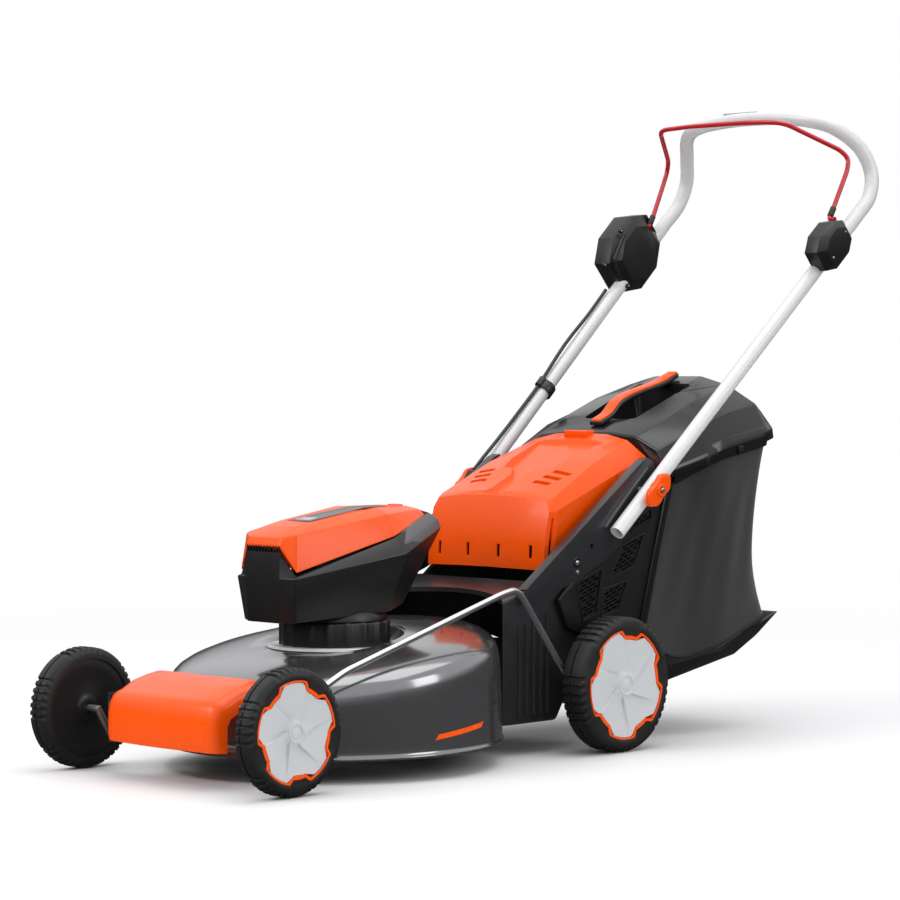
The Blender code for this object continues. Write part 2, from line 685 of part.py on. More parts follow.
def cable_clip():
    centre = on_handle(0.43, -1)
    along = (HANDLE_HIGH - HANDLE_LOW).normalized() * 0.009
    along.x *= -1
    item = add("cable_clip", mesh_of(rod_bm(centre - along, centre + along, 0.0160, 20)), "black_plastic")
    lead = beside_handle(0.43, 0.0165)
    join(item, rod_bm(lead - along, lead + along, 0.0065, 12))
    cut(item, rod_bm(centre - along * 2, centre + along * 2, HANDLE_TUBE_R + GAP, 16))
    return cut(item, rod_bm(lead - along * 2, lead + along * 2, CABLE_R + 0.0006, 12))


def micro_switch():
    """The switch that the start button and the bail work, in its pocket in the switch box."""
    centre = Vector((-0.2390, BOX_CENTRE[1] + 0.002, BOX_CENTRE[2] + 0.020))
    half = Vector((0.005, 0.012, 0.004))
    return add("run_switch", mesh_of(box_bm(centre - half, centre + half)), "black_plastic")


def knob(side):
    """A two-lobed wing knob that clamps the handle tube to its bracket."""
    name = "wing_knob_" + ("left" if side > 0 else "right")
    y, z = FOLD_AXIS
    x = side * 0.2022
    hub = rod_bm((x, y, z), (x + side * 0.016, y, z), 0.0130, 16, 0.0105)
    item = add(name, mesh_of(hub), "orange_plastic", at=(x, y, z))
    lobe = [(0.0, -0.010), (0.020, -0.011), (0.031, -0.006), (0.033, 0.004), (0.026, 0.011), (0.0, 0.010)]
    for turn in (0.75, -2.39):
        wing = []
        for along, across in lobe:
            wing.append((y + along * math.cos(turn) - across * math.sin(turn),
                         z + along * math.sin(turn) + across * math.cos(turn)))
        join(item, plate_bm(wing, x + side * 0.004, x + side * 0.013))
    return join(item, rod_bm((x + side * 0.010, y, z), (x + side * 0.0205, y, z), 0.0042, 6))


# The rear flap

def rear_flap():
    """The sprung hood that closes the grass outlet and lies on the collector."""
    outer = [
        [(0.126, 0.283, 0.279), (0.134, 0.300, 0.282), (0.137, 0.400, 0.352), (0.134, 0.520, 0.440)],
        [(0.126, 0.296, 0.370), (0.132, 0.310, 0.372), (0.134, 0.410, 0.412), (0.130, 0.523, 0.452)],
        [(0.118, 0.300, 0.386), (0.122, 0.312, 0.392), (0.112, 0.410, 0.440), (0.100, 0.512, 0.478)],
        [(0.060, 0.306, 0.398), (0.062, 0.316, 0.402), (0.060, 0.410, 0.448), (0.055, 0.514, 0.487)],
    ]
    wall = 0.0025
    skin = loft_bm([both_sides(r) for r in outer])
    item = add("rear_flap", mesh_of(skin), "orange_plastic", at=(0, *FLAP_AXIS))
    shifts = (wall, wall, 0.0, 0.04)
    inner = [[(x - wall, y + back, z - wall) for (x, y, z), back in zip(ring, shifts)] for ring in outer]
    low = [(x, y, z - 0.03) for x, y, z in inner[0]]
    cut(item, loft_bm([both_sides(r) for r in (low, *inner)]))
    return cut(item, rod_bm((-0.15, *FLAP_AXIS), (0.15, *FLAP_AXIS), 0.0031, 10))


def flap_hinge():
    bm = rod_bm((-0.1300, *FLAP_AXIS), (0.1300, *FLAP_AXIS), 0.0025, 10)
    return add("flap_hinge_rod", mesh_of(bm), "zinc_steel")


def flap_spring():
    """The coil on the hinge rod that closes the flap."""
    turns, points, pitch, radius = 5, 8, 0.0036, 0.0050
    path = []
    for k in range(turns * points + 1):
        angle = 2 * math.pi * k / points
        y, z = FLAP_AXIS[0] + radius * math.cos(angle), FLAP_AXIS[1] + radius * math.sin(angle)
        path.append((-0.085 + pitch * k / points, y, z))
    return tube("flap_spring", path, 0.0009, "zinc_steel", sides=1)


# The grass collector

def collector_bag():
    """The woven bag: two sides and a back, open towards the tunnel, the lid and the tray."""
    low = [(0.168, 0.470, 0.153), (0.170, 0.560, 0.125), (0.190, 0.640, 0.144), (0.189, 0.768, 0.190)]
    middle = [(0.168, 0.540, 0.330), (0.170, 0.580, 0.330), (0.191, 0.640, 0.330), (0.190, 0.764, 0.330)]
    high = [(0.168, 0.545, 0.410), (0.170, 0.590, 0.425), (0.190, 0.640, 0.449), (0.188, 0.772, 0.472)]
    item = add("collector_bag", mesh_of(loft_bm([both_sides(r) for r in (low, middle, high)])), "mesh_fabric")
    wall = 0.004
    hollow = []
    for ring, lift in ((low, -0.10), (low, 0.0), (middle, 0.0), (high, 0.0), (high, 0.10)):
        hollow.append([(x - wall, y - (0.25 if k == 0 else 0.0) - (wall if k == 3 else 0.0), z + lift)
                       for k, (x, y, z) in enumerate(ring)])
    return cut(item, loft_bm([both_sides(r) for r in hollow]))


def collector_tray():
    """The moulded floor under the bag."""
    low = [(0.150, 0.480, 0.086), (0.155, 0.520, 0.086), (0.170, 0.700, 0.124), (0.160, 0.770, 0.150)]
    high = [(0.166, 0.455, 0.148), (0.169, 0.540, 0.116), (0.188, 0.640, 0.134), (0.186, 0.795, 0.190)]
    item = add("collector_tray", mesh_of(loft_bm([both_sides(r) for r in (low, high)])), "black_plastic")
    wall = 0.003
    floor = inset([(x, y, z + wall) for x, y, z in low], wall)
    rim = [(x - wall, y + (wall if k < 2 else -wall), z + 0.001) for k, (x, y, z) in enumerate(high)]
    above = [(x, y, z + 0.08) for x, y, z in rim]
    return cut(item, loft_bm([both_sides(r) for r in (floor, rim, above)]))


def collector_grille(side):
    """The slotted side panel between the tunnel and the bag."""
    name = "collector_grille_" + ("left" if side > 0 else "right")
    outline = [(0.300, 0.190), (0.277, 0.236), (0.369, 0.306), (0.440, 0.340), (0.496, 0.404), (0.530, 0.398),
               (0.465, 0.149), (0.400, 0.165)]
    inner, outer = side * 0.1570, side * 0.1640
    item = add(name, mesh_of(plate_bm(outline, inner, outer)), "black_plastic")
    for row in range(4):
        for column in range(3):
            y = 0.330 + 0.030 * column + 0.026 * row
            z = 0.200 + 0.016 * column + 0.036 * row
            slot = [(y, z), (y + 0.018, z + 0.006), (y + 0.018, z + 0.011), (y, z + 0.005)]
            cut(item, plate_bm(slot, side * 0.150, side * 0.170))
    return item


# Where each cross-section of the lid is, and its half outline of (x, z) points from the rim to the crown
LID_SECTIONS = [
    (0.5275, [(0.172, 0.415), (0.172, 0.430), (0.150, 0.464), (0.105, 0.484), (0.050, 0.489)]),
    (0.6100, [(0.192, 0.441), (0.190, 0.456), (0.166, 0.498), (0.112, 0.518), (0.050, 0.524)]),
    (0.6800, [(0.194, 0.462), (0.192, 0.476), (0.168, 0.518), (0.112, 0.545), (0.050, 0.553)]),
    (0.7600, [(0.194, 0.474), (0.192, 0.492), (0.166, 0.536), (0.108, 0.567), (0.050, 0.582)]),
    (0.7850, [(0.186, 0.478), (0.183, 0.496), (0.156, 0.524), (0.100, 0.550), (0.046, 0.562)]),
]


def lid_section(y, half, shrink=0.0, floor=0.0):
    """One closed cross-section of the lid, or of the space inside it."""
    right = [(x - shrink, y, z - (shrink if k > 1 else 0)) for k, (x, z) in enumerate(half)]
    right[0] = (right[0][0], y, right[0][2] - floor)
    return right + [(-x, py, z) for x, py, z in reversed(right)]


def collector_lid():
    """The moulded hood over the bag, with a deep finger well under its carrying arch."""
    skin = loft_bm([lid_section(y, half) for y, half in LID_SECTIONS])
    item = add("collector_lid", mesh_of(skin), "black_plastic", smooth=25)
    wall = 0.003
    ys = (0.5305, 0.6100, 0.6800, 0.7590, 0.7820)
    cut(item, loft_bm([lid_section(y, half, wall, 0.03) for y, (_, half) in zip(ys, LID_SECTIONS)]))
    pan = [(0.571, 0.462), (0.571, 0.5052), (0.610, 0.5216), (0.680, 0.5505), (0.728, 0.5680),
           (0.728, 0.462)]
    join(item, plate_bm(pan, -0.066, 0.066))
    return cut(item, box_bm((-0.062, 0.575, 0.465), (0.062, 0.724, 0.62)))


def collector_handle():
    """The carrying arch over the finger well."""
    outline = [(0.548, 0.5000), (0.573, 0.5110), (0.580, 0.5150), (0.600, 0.5340), (0.640, 0.5480),
               (0.700, 0.5630), (0.720, 0.5660), (0.728, 0.5730), (0.745, 0.5790), (0.742, 0.5840),
               (0.700, 0.5740), (0.640, 0.5590), (0.596, 0.5450), (0.570, 0.5240), (0.545, 0.5030)]
    return add("collector_handle", mesh_of(plate_bm(outline, -0.015, 0.015)), "orange_plastic")


def height_lever():
    """The lever on the rear axle's right-hand stub that sets the cutting height."""
    x, y, z = -0.1885, REAR_AXLE[1], REAR_AXLE[2]
    outline = [(y - 0.011, z - 0.010), (y - 0.011, z + 0.008), (0.398, 0.232), (0.412, 0.262), (0.424, 0.256),
               (0.410, 0.226), (y + 0.011, z - 0.010)]
    plate = plate_bm(outline, x - 0.0015, x + 0.0015)
    item = add("height_lever", mesh_of(plate), "zinc_steel", at=(0, *REAR_CRANK))
    return cut(item, rod_bm((x - 0.01, y, z), (x + 0.01, y, z), 0.0064, 16))


def lever_grip():
    grip = box_bm((-0.1945, 0.4020, 0.2650), (-0.1825, 0.4300, 0.3000))
    item = add("height_lever_grip", mesh_of(grip), "black_plastic", at=(0, *REAR_CRANK))
    return bevel(item, 0.003, 2)


def main():
    deck_shell()
    rear_chute()
    for side in (1, -1):
        bracket(side)
        bracket_bolt(side)
        word = "left" if side > 0 else "right"
        wheel("front_" + word, FRONT_AXLE, FRONT_WHEEL_R, FRONT_TYRE_W, side)
        wheel("rear_" + word, REAR_AXLE, REAR_WHEEL_R, REAR_TYRE_W, side)
    front_cover()
    motor_base()
    motor()
    housing()
    battery_lid()
    lid_badge()
    lid_hinge()
    battery()
    controller()
    blade()
    shaft()
    blade_hub()
    blade_washer()
    axle_bracket("front_axle_bracket", FRONT_CRANK, 0.178, 0.112, -0.3035)
    axle_bracket("rear_axle_bracket", REAR_CRANK, 0.160, 0.112, REAR_CRANK[0] + 0.014)
    link_arm(axle("front_axle", FRONT_CRANK, FRONT_AXLE, 0.184), FRONT_CRANK, 0.186)
    link_arm(axle("rear_axle", REAR_CRANK, REAR_AXLE, 0.170), REAR_CRANK, 0.173)
    tie_rod()
    handle_tube()
    switch_box()
    control_box("pivot_box", 1, (0.046, 0.088, 0.070))
    bail_lever()
    start_button()
    cable()
    cable_clip()
    cable_boot()
    cable_lead()
    micro_switch()
    for side in (1, -1):
        knob(side)
        collector_grille(side)
    rear_flap()
    flap_hinge()
    flap_spring()
    collector_bag()
    collector_tray()
    collector_lid()
    collector_handle()
    height_lever()
    lever_grip()


main()
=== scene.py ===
"""The looks of a cordless lawn mower with a rear grass collector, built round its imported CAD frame.

Metres, +Z up, the front of the mower towards -Y. The shapes below are written with y = 0 midway between the
two wheel axles, and piece() moves each finished mesh by SHIFT into the frame's own space.
"""

import json
import math

import bmesh
import bpy
from mathutils import Matrix, Vector

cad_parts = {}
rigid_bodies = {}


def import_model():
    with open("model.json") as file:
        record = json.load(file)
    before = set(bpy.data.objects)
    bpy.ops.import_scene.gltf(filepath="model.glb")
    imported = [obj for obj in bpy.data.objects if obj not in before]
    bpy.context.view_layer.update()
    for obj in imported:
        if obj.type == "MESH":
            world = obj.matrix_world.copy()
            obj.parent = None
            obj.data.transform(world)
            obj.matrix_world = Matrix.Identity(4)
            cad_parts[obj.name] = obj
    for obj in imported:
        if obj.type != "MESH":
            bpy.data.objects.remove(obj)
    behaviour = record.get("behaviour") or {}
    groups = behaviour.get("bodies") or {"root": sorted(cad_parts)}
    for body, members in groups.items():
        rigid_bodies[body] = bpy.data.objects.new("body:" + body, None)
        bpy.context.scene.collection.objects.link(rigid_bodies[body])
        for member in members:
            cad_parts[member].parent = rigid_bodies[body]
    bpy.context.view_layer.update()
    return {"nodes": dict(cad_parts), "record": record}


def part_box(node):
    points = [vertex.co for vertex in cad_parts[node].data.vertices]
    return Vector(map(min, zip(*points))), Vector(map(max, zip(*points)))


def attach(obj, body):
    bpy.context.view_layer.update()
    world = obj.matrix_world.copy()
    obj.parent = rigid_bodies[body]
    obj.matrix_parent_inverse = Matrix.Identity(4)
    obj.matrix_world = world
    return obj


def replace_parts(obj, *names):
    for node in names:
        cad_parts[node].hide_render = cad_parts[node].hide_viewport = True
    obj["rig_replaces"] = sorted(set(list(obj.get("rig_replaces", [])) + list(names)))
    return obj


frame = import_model()
SCENE = bpy.context.scene
GAP = 0.0003
SAME_POINT = 1e-6
HANDS = ((1, "left"), (-1, "right"))


def middle(node):
    low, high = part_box(node)
    return (low + high) / 2


SHIFT = Vector((0, (middle("front_left_tyre").y + middle("rear_left_tyre").y) / 2, 0))
BODY_OF = {n: body for body, members in frame["record"]["behaviour"]["bodies"].items() for n in members}
SLOT_OF = {part["node"]: part["material_slot"] for part in frame["record"]["subparts"]}


# Materials

FINISHES = {}
GLOSS_SPREAD = 0.09
COAT_ROUGHNESS = 0.04


def fill(tree, node, inputs):
    """Sets the node's inputs: each takes a number or a colour, or is linked to another node's output."""
    for key, value in inputs.items():
        if isinstance(value, bpy.types.NodeSocket):
            tree.links.new(value, node.inputs[key])
        else:
            node.inputs[key].default_value = value


def new_node(tree, kind, inputs=None, **settings):
    node = tree.nodes.new("ShaderNode" + kind)
    for key, value in settings.items():
        setattr(node, key, value)
    fill(tree, node, inputs or {})
    return node


def place_in(tree, space="Object"):
    return new_node(tree, "TexCoord").outputs[space]


def noise(tree, scale, detail=2.0, stretch=None):
    """A noise value in the object's own metres, stretched along one axis if asked."""
    place = place_in(tree)
    if stretch:
        place = new_node(tree, "Mapping", {"Scale": stretch, "Vector": place}).outputs["Vector"]
    return new_node(tree, "TexNoise", {"Scale": scale, "Detail": detail, "Vector": place}).outputs["Fac"]


def ranged(tree, value, low, high, source=(0.3, 0.7)):
    """The value, spread from the source range to low ... high."""
    inputs = {"From Min": source[0], "From Max": source[1], "To Min": low, "To Max": high, "Value": value}
    return new_node(tree, "MapRange", inputs).outputs["Result"]


def reckoned(tree, operation, *values):
    """What a math node makes of the values."""
    return new_node(tree, "Math", dict(enumerate(values)), operation=operation).outputs["Value"]


def tinted(tree, value, dark, light):
    """A colour between dark, where the value is 0, and light, where it is 1."""
    inputs = {"Factor": value, "A": (*dark, 1), "B": (*light, 1)}
    return new_node(tree, "Mix", inputs, data_type="RGBA").outputs["Result"]


def bumped(tree, height, strength, depth):
    inputs = {"Strength": strength, "Distance": depth, "Height": height}
    return new_node(tree, "Bump", inputs).outputs["Normal"]


def mixed(tree, share, first, second):
    """Two shaders mixed, from the first at 0 to the second at 1."""
    return new_node(tree, "MixShader", {"Fac": share, 1: first, 2: second}).outputs["Shader"]


def blank(name):
    """A new material under that name, with its node tree and its shader."""
    made = bpy.data.materials.new(name)
    made.use_nodes = True
    FINISHES[name] = made
    return made, made.node_tree, made.node_tree.nodes["Principled BSDF"]


def finish(name, colour, roughness, metallic=0.0, coat=0.0, grain=0.0, grain_scale=1500.0, depth=0.00004,
           mottle=0.06, stretch=None, specular=0.5):
    """A surface of clouded colour and uneven gloss, with a grain raised by depth metres."""
    _, tree, shader = blank(name)
    dark = [c * (1 - mottle) for c in colour]
    light = [min(1.0, c * (1 + mottle)) for c in colour]
    spread = GLOSS_SPREAD * roughness
    worn = ranged(tree, noise(tree, 38.0, 5.0), roughness - spread, roughness + spread)
    fill(tree, shader, {"Metallic": metallic, "Coat Weight": coat, "Coat Roughness": COAT_ROUGHNESS,
                        "Specular IOR Level": specular, "Roughness": worn,
                        "Base Color": tinted(tree, noise(tree, 14.0, 4.0), dark, light)})
    if grain:
        height = noise(tree, grain_scale, 2.0, stretch)
        fill(tree, shader, {"Normal": bumped(tree, height, grain, depth)})


def woven(name, colour, thread):
    """Cloth of crossing threads, each thread metres wide, open enough to look matt, with painted shade in the
    openings between the threads.
    """
    _, tree, shader = blank(name)
    split = new_node(tree, "SeparateXYZ", {"Vector": place_in(tree)}).outputs
    turns = math.pi / thread
    along = reckoned(tree, "ADD", split["X"], split["Y"])
    warp = reckoned(tree, "SINE", reckoned(tree, "MULTIPLY", along, turns))
    weft = reckoned(tree, "SINE", reckoned(tree, "MULTIPLY", split["Z"], turns))
    over = reckoned(tree, "MULTIPLY", reckoned(tree, "MULTIPLY", warp, weft), 0.35)
    height = reckoned(tree, "MAXIMUM", reckoned(tree, "ABSOLUTE", warp), reckoned(tree, "ABSOLUTE", weft))
    raised = reckoned(tree, "ADD", height, over)
    # Where the threads are low, in the openings between them, the colour falls to a quarter: painted shade.
    # The noise on the next line adds random tone.
    shade = ranged(tree, raised, 0.0, 1.0, (0.55, 1.25))
    shade = reckoned(tree, "MULTIPLY", shade, ranged(tree, noise(tree, 6.0, 3.0), 0.75, 1.0))
    dark = [c * 0.25 for c in colour]
    fill(tree, shader, {"Roughness": 0.85, "Sheen Weight": 0.25, "Sheen Roughness": 0.5,
                        "Base Color": tinted(tree, shade, dark, colour),
                        "Normal": bumped(tree, raised, 0.7, thread * 0.25)})


finish("deck_paint", (0.25, 0.252, 0.255), 0.16, 0.85, 0.4, 0.03, 2600, 0.00001, 0.04)
# A darker copy of the deck's paint for the chute and the handle brackets: painted shade, standing in for the
# dim reflections on their upright faces
finish("shaded_deck_paint", (0.05, 0.051, 0.054), 0.34, 0.6, 0.2, 0.06, 2600, 0.00001, 0.04)
finish("pad_paint", (0.8, 0.8, 0.8), 0.4, coat=0.2, grain=0.05, grain_scale=900, mottle=0.02)
finish("black_plastic", (0.01, 0.01, 0.0105), 0.36, grain=0.5, grain_scale=1700)
finish("black_gloss", (0.009, 0.009, 0.0095), 0.17, grain=0.12, grain_scale=900)
finish("orange_plastic", (1.0, 0.095, 0.0), 0.28, coat=0.1, specular=0.3, grain=0.08, grain_scale=500,
       mottle=0.012)
finish("grey_plastic", (0.6, 0.62, 0.63), 0.42, grain=0.25, grain_scale=1300, mottle=0.03)
finish("bar_grey", (0.095, 0.096, 0.099), 0.36, grain=0.5, grain_scale=1700)
finish("badge_grey", (0.13, 0.135, 0.14), 0.34, grain=0.3, grain_scale=1500)
finish("badge_light", (0.48, 0.49, 0.5), 0.3, grain=0.2, grain_scale=1500)
finish("white_tube", (0.74, 0.75, 0.75), 0.28, coat=0.3, grain=0.02, grain_scale=800, mottle=0.02)
finish("red_wire", (0.55, 0.006, 0.012), 0.22, coat=0.5, grain=0.1, grain_scale=700, mottle=0.04)
finish("zinc_steel", (0.62, 0.63, 0.63), 0.3, 0.95, grain=0.25, grain_scale=420, stretch=(6, 1, 6),
       mottle=0.08)
finish("tyre_rubber", (0.011, 0.011, 0.011), 0.58, grain=0.6, grain_scale=1100, depth=0.0001, mottle=0.15)
finish("board_green", (0.02, 0.16, 0.06), 0.42, grain=0.4, grain_scale=300, depth=0.0001)
finish("copper_steel", (0.42, 0.24, 0.16), 0.36, 0.85, grain=0.6, grain_scale=500, stretch=(0.2, 0.2, 8),
       depth=0.0002)
woven("mesh_fabric", (0.03, 0.029, 0.027), 0.0013)
finish("hem_tape", (0.012, 0.012, 0.012), 0.8, grain=0.8, grain_scale=900, depth=0.0002)


# Mesh helpers

def as_mesh(shape):
    """The shape as a mesh. A bmesh is used up, and its faces are turned to face out."""
    if isinstance(shape, bpy.types.Mesh):
        return shape
    bmesh.ops.recalc_face_normals(shape, faces=shape.faces)
    mesh = bpy.data.meshes.new("shape")
    shape.to_mesh(mesh)
    shape.free()
    return mesh


def evaluated(shape, *steps):
    """The shape after these modifiers, each one (type, {setting: value})."""
    data = shape if isinstance(shape, bpy.types.Curve) else as_mesh(shape)
    holder = bpy.data.objects.new("holder", data)
    SCENE.collection.objects.link(holder)
    for kind, settings in steps:
        step = holder.modifiers.new(kind.lower(), kind)
        for key, value in settings.items():
            setattr(step, key, value)
    bpy.context.view_layer.update()
    made = bpy.data.meshes.new_from_object(holder.evaluated_get(bpy.context.evaluated_depsgraph_get()))
    bpy.data.objects.remove(holder)
    return made


def bevelled(mesh, width, segments=3, angle=28, miter="MITER_ARC"):
    """The mesh with the edges sharper than the angle rounded."""
    return evaluated(mesh, ("BEVEL", {"width": width, "segments": segments, "limit_method": "ANGLE",
                                      "angle_limit": math.radians(angle), "miter_outer": miter}))


def combined(mesh, others, operation="DIFFERENCE"):
    """The mesh cut by, or joined to, all the other meshes."""
    for other in others:
        tool = bpy.data.objects.new("tool", as_mesh(other))
        SCENE.collection.objects.link(tool)
        mesh = evaluated(mesh, ("BOOLEAN", {"object": tool, "operation": operation, "solver": "EXACT"}))
        bpy.data.objects.remove(tool)
    return mesh


def piece(name, mesh, finish_name, node, stands_for=True, sharp=38):
    """The shape as a piece: it rides with the node's body and, if asked, is shown instead of the node."""
    mesh = as_mesh(mesh)
    mesh.transform(Matrix.Translation(SHIFT))
    mesh.materials.clear()
    mesh.materials.append(FINISHES[finish_name])
    mesh.shade_smooth()
    mesh.set_sharp_from_angle(angle=math.radians(sharp))
    made = bpy.data.objects.new(name, mesh)
    SCENE.collection.objects.link(made)
    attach(made, BODY_OF[node])
    if stands_for:
        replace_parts(made, node)
    return made


def detail(name, mesh, finish_name, node, **more):
    """A piece shown beside the one that stands for the node."""
    return piece(name, mesh, finish_name, node, stands_for=False, **more)


def refined(node):
    """The CAD node's own shape with its edges rounded, so that they catch the light."""
    bm = bmesh.new()
    bm.from_mesh(frame["nodes"][node].data)
    bmesh.ops.translate(bm, vec=-SHIFT, verts=bm.verts)
    bmesh.ops.remove_doubles(bm, verts=bm.verts, dist=SAME_POINT)
    bmesh.ops.dissolve_limit(bm, angle_limit=math.radians(0.5), verts=bm.verts, edges=bm.edges)
    piece(node + "_body", bevelled(bm, 0.0006, 2), SLOT_OF[node], node, sharp=32)


def box(low, high, bm=None):
    """A box between two corners."""
    bm = bm or bmesh.new()
    low, high = Vector(low), Vector(high)
    made = bmesh.ops.create_cube(bm, size=1)
    bmesh.ops.scale(bm, vec=high - low, verts=made["verts"])
    bmesh.ops.translate(bm, vec=(low + high) / 2, verts=made["verts"])
    return bm


def rod(start, end, radius, sides=24, end_radius=None, bm=None):
    """A cylinder or cone between two points."""
    bm = bm or bmesh.new()
    start, end = Vector(start), Vector(end)
    along = end - start
    made = bmesh.ops.create_cone(bm, cap_ends=True, segments=sides, radius1=radius,
                                 radius2=radius if end_radius is None else end_radius, depth=along.length)
    turn = along.to_track_quat("Z", "Y").to_matrix().to_4x4()
    bmesh.ops.transform(bm, matrix=Matrix.Translation((start + end) / 2) @ turn, verts=made["verts"])
    return bm


def slab(outline, x0, x1, bm=None):
    """A flat outline of (y, z) points, extruded from x0 to x1."""
    bm = bm or bmesh.new()
    near = [bm.verts.new((x0, y, z)) for y, z in outline]
    far = [bm.verts.new((x1, y, z)) for y, z in outline]
    bm.faces.new(near)
    bm.faces.new(far)
    for i in range(len(outline)):
        j = (i + 1) % len(outline)
        bm.faces.new((near[i], near[j], far[j], far[i]))
    return bm


def both_sides(half):
    """The points on one side, carried on across x = 0 to their mirror images."""
    return list(half) + [(-x, y, z) for x, y, z in reversed(half) if x > SAME_POINT]


def loft(rings, caps=True, around=True, bm=None):
    """A skin through rows of points; around closes each row, and caps closes the first and last one."""
    bm = bm or bmesh.new()
    loops = [[bm.verts.new(point) for point in ring] for ring in rings]
    count = len(loops[0])
    for low, high in zip(loops, loops[1:]):
        for i in range(count if around else count - 1):
            j = (i + 1) % count
            bm.faces.new((low[i], low[j], high[j], high[i]))
    if caps:
        bm.faces.new(loops[0])
        bm.faces.new(loops[-1])
    return bm


def ring_loft(rings):
    """A skin through rings, whose last ring joins the first, as on a tyre."""
    return loft([*rings, rings[0]], caps=False)


def round_angles(count):
    return [2 * math.pi * k / count for k in range(count)]


def on_side(side, points):
    """The points, or their mirror images when the side is -1."""
    return [(side * x, y, z) for x, y, z in points]


def curve_points(points, per_span=5):
    """Points along a Catmull-Rom curve through the ones given."""
    points = [Vector(p) for p in points]
    ends = [2 * points[0] - points[1], *points, 2 * points[-1] - points[-2]]
    path = []
    for p0, p1, p2, p3 in zip(ends, ends[1:], ends[2:], ends[3:]):
        for step in range(per_span):
            t = step / per_span
            path.append(0.5 * (2 * p1 + (p2 - p0) * t + (2 * p0 - 5 * p1 + 4 * p2 - p3) * t * t
                               + (3 * p1 - p0 - 3 * p2 + p3) * t ** 3))
    return path + [points[-1]]


def rounded_path(points, radius, steps=5):
    """Straight runs between the points, with an arc of about that radius at each corner."""
    points = [Vector(p) for p in points]
    path = [points[0]]
    for before, corner, after in zip(points, points[1:], points[2:]):
        back, ahead = (before - corner), (after - corner)
        reach = min(radius, back.length * 0.45, ahead.length * 0.45)
        start, end = corner + back.normalized() * reach, corner + ahead.normalized() * reach
        for step in range(steps + 1):
            t = step / steps
            path.append(start * (1 - t) ** 2 + corner * 2 * t * (1 - t) + end * t * t)
    return path + [points[-1]]


def tube(path, radius, sides, wall=0.0):
    """A round bar along a path or, with a wall, a tube that is open at its ends."""
    curve = bpy.data.curves.new("tube", "CURVE")
    curve.dimensions = "3D"
    curve.bevel_depth = radius
    curve.bevel_resolution = sides
    curve.use_fill_caps = not wall
    line = curve.splines.new("POLY")
    line.points.add(len(path) - 1)
    for spot, point in zip(line.points, path):
        spot.co = (*point, 1)
    steps = [("WELD", {"merge_threshold": SAME_POINT})]
    if wall:
        steps.append(("SOLIDIFY", {"thickness": wall, "offset": -1}))
    return evaluated(evaluated(curve), *steps)


# The wheels

# A wheel's measures, as shares of its radius
RING, NOTCH, CAP_NOTCH = 0.815, 0.088, 0.003
LUG = 0.0034


def notch_share(angle, turn, outer=15.5, inner=10.0):
    """From 0 on the plain rim to 1 across a notch. The wheel has five, and turn is the place of the first."""
    away = abs((math.degrees(angle) - turn + 36) % 72 - 36)
    return max(0.0, min(1.0, (outer - away) / (outer - inner)))


def wheel_angles(turn):
    """(angle, lug height from 0 to 1) round the tread: five long blocks, each followed by five ribs."""
    spots = [(-16.5, 0), *((a, 1) for a in (-15.5, -13, -10, -5, 0, 5, 10, 13, 15.5)), (16.5, 0)]
    for rib in range(5):
        centre = 21.2 + 7.4 * rib
        spots += [(centre - 2.5, 0), (centre - 1.7, 1), (centre + 1.7, 1), (centre + 2.5, 0)]
    return [(math.radians(turn + 72 * k + a), h) for k in range(5) for a, h in spots]


def wheel_point(place, r, angle, width):
    """place holds the axle's (y, z), the side, and the inner face's x, from which width is measured."""
    (y, z), side, inner_x = place
    return (side * (inner_x + width), y + r * math.sin(angle), z + r * math.cos(angle))


def tyre_mesh(place, radius, width, turn):
    """The tread with its ribs, the side walls and the lip that follows the notches."""
    ring, base, centre = radius * RING, radius - 0.0036, width * 0.46
    rows = []
    for angle, lug in wheel_angles(turn):
        notch = notch_share(angle, turn)
        dip = 0.0014 * notch
        edge = ring - radius * NOTCH * notch
        profile = [(ring, 0.0006, 0), (radius * 0.89, 0.0006, 0), (radius - 0.0085, 0.0016, 0.1),
                   (base - 0.0026, 0.0036, 0.6), (base - 0.0008, 0.006, 0.9), (base, 0.0085, 1),
                   (base, centre - 0.0016, 1), (base, centre - 0.001, 0.15), (base, centre + 0.001, 0.15),
                   (base, centre + 0.0016, 1), (base, width - 0.0085, 1), (base - 0.001, width - 0.0055, 0.9),
                   (base - 0.003, width - 0.003, 0.6), (radius - 0.0095, width - 0.0012 - dip, 0.1),
                   (radius * 0.875, width - 0.0004 - dip, 0), (ring + 0.0016, width - 0.0006 - dip, 0),
                   (edge + 0.0006, width - 0.001 - dip * 0.6, 0), (edge, width - 0.0016 - dip * 0.6, 0),
                   (edge, width - 0.005, 0), (ring, width - 0.0052, 0)]
        rows.append([wheel_point(place, r + LUG * lug * share, angle, w) for r, w, share in profile])
    return ring_loft(rows)


def rim_mesh(place, radius, width, turn):
    """The coloured band between tyre and cap, with the notches."""
    ring = radius * RING
    rows = []
    for step in range(360):
        angle = math.radians(turn + step)
        notch = notch_share(angle, turn)
        outer = ring - radius * NOTCH * notch - GAP
        inner = ring - 0.003 - (radius * NOTCH + CAP_NOTCH) * notch_share(angle, turn, 18.0, 11.0)
        high, low = width - 0.0006 - 0.0012 * notch, width - 0.011
        rows.append([wheel_point(place, r, angle, w) for r, w in
                     ((inner, low), (inner, high - 0.0006), (inner + 0.0005, high), (outer - 0.0005, high),
                      (outer, high - 0.0006), (outer, low))])
    return ring_loft(rows)


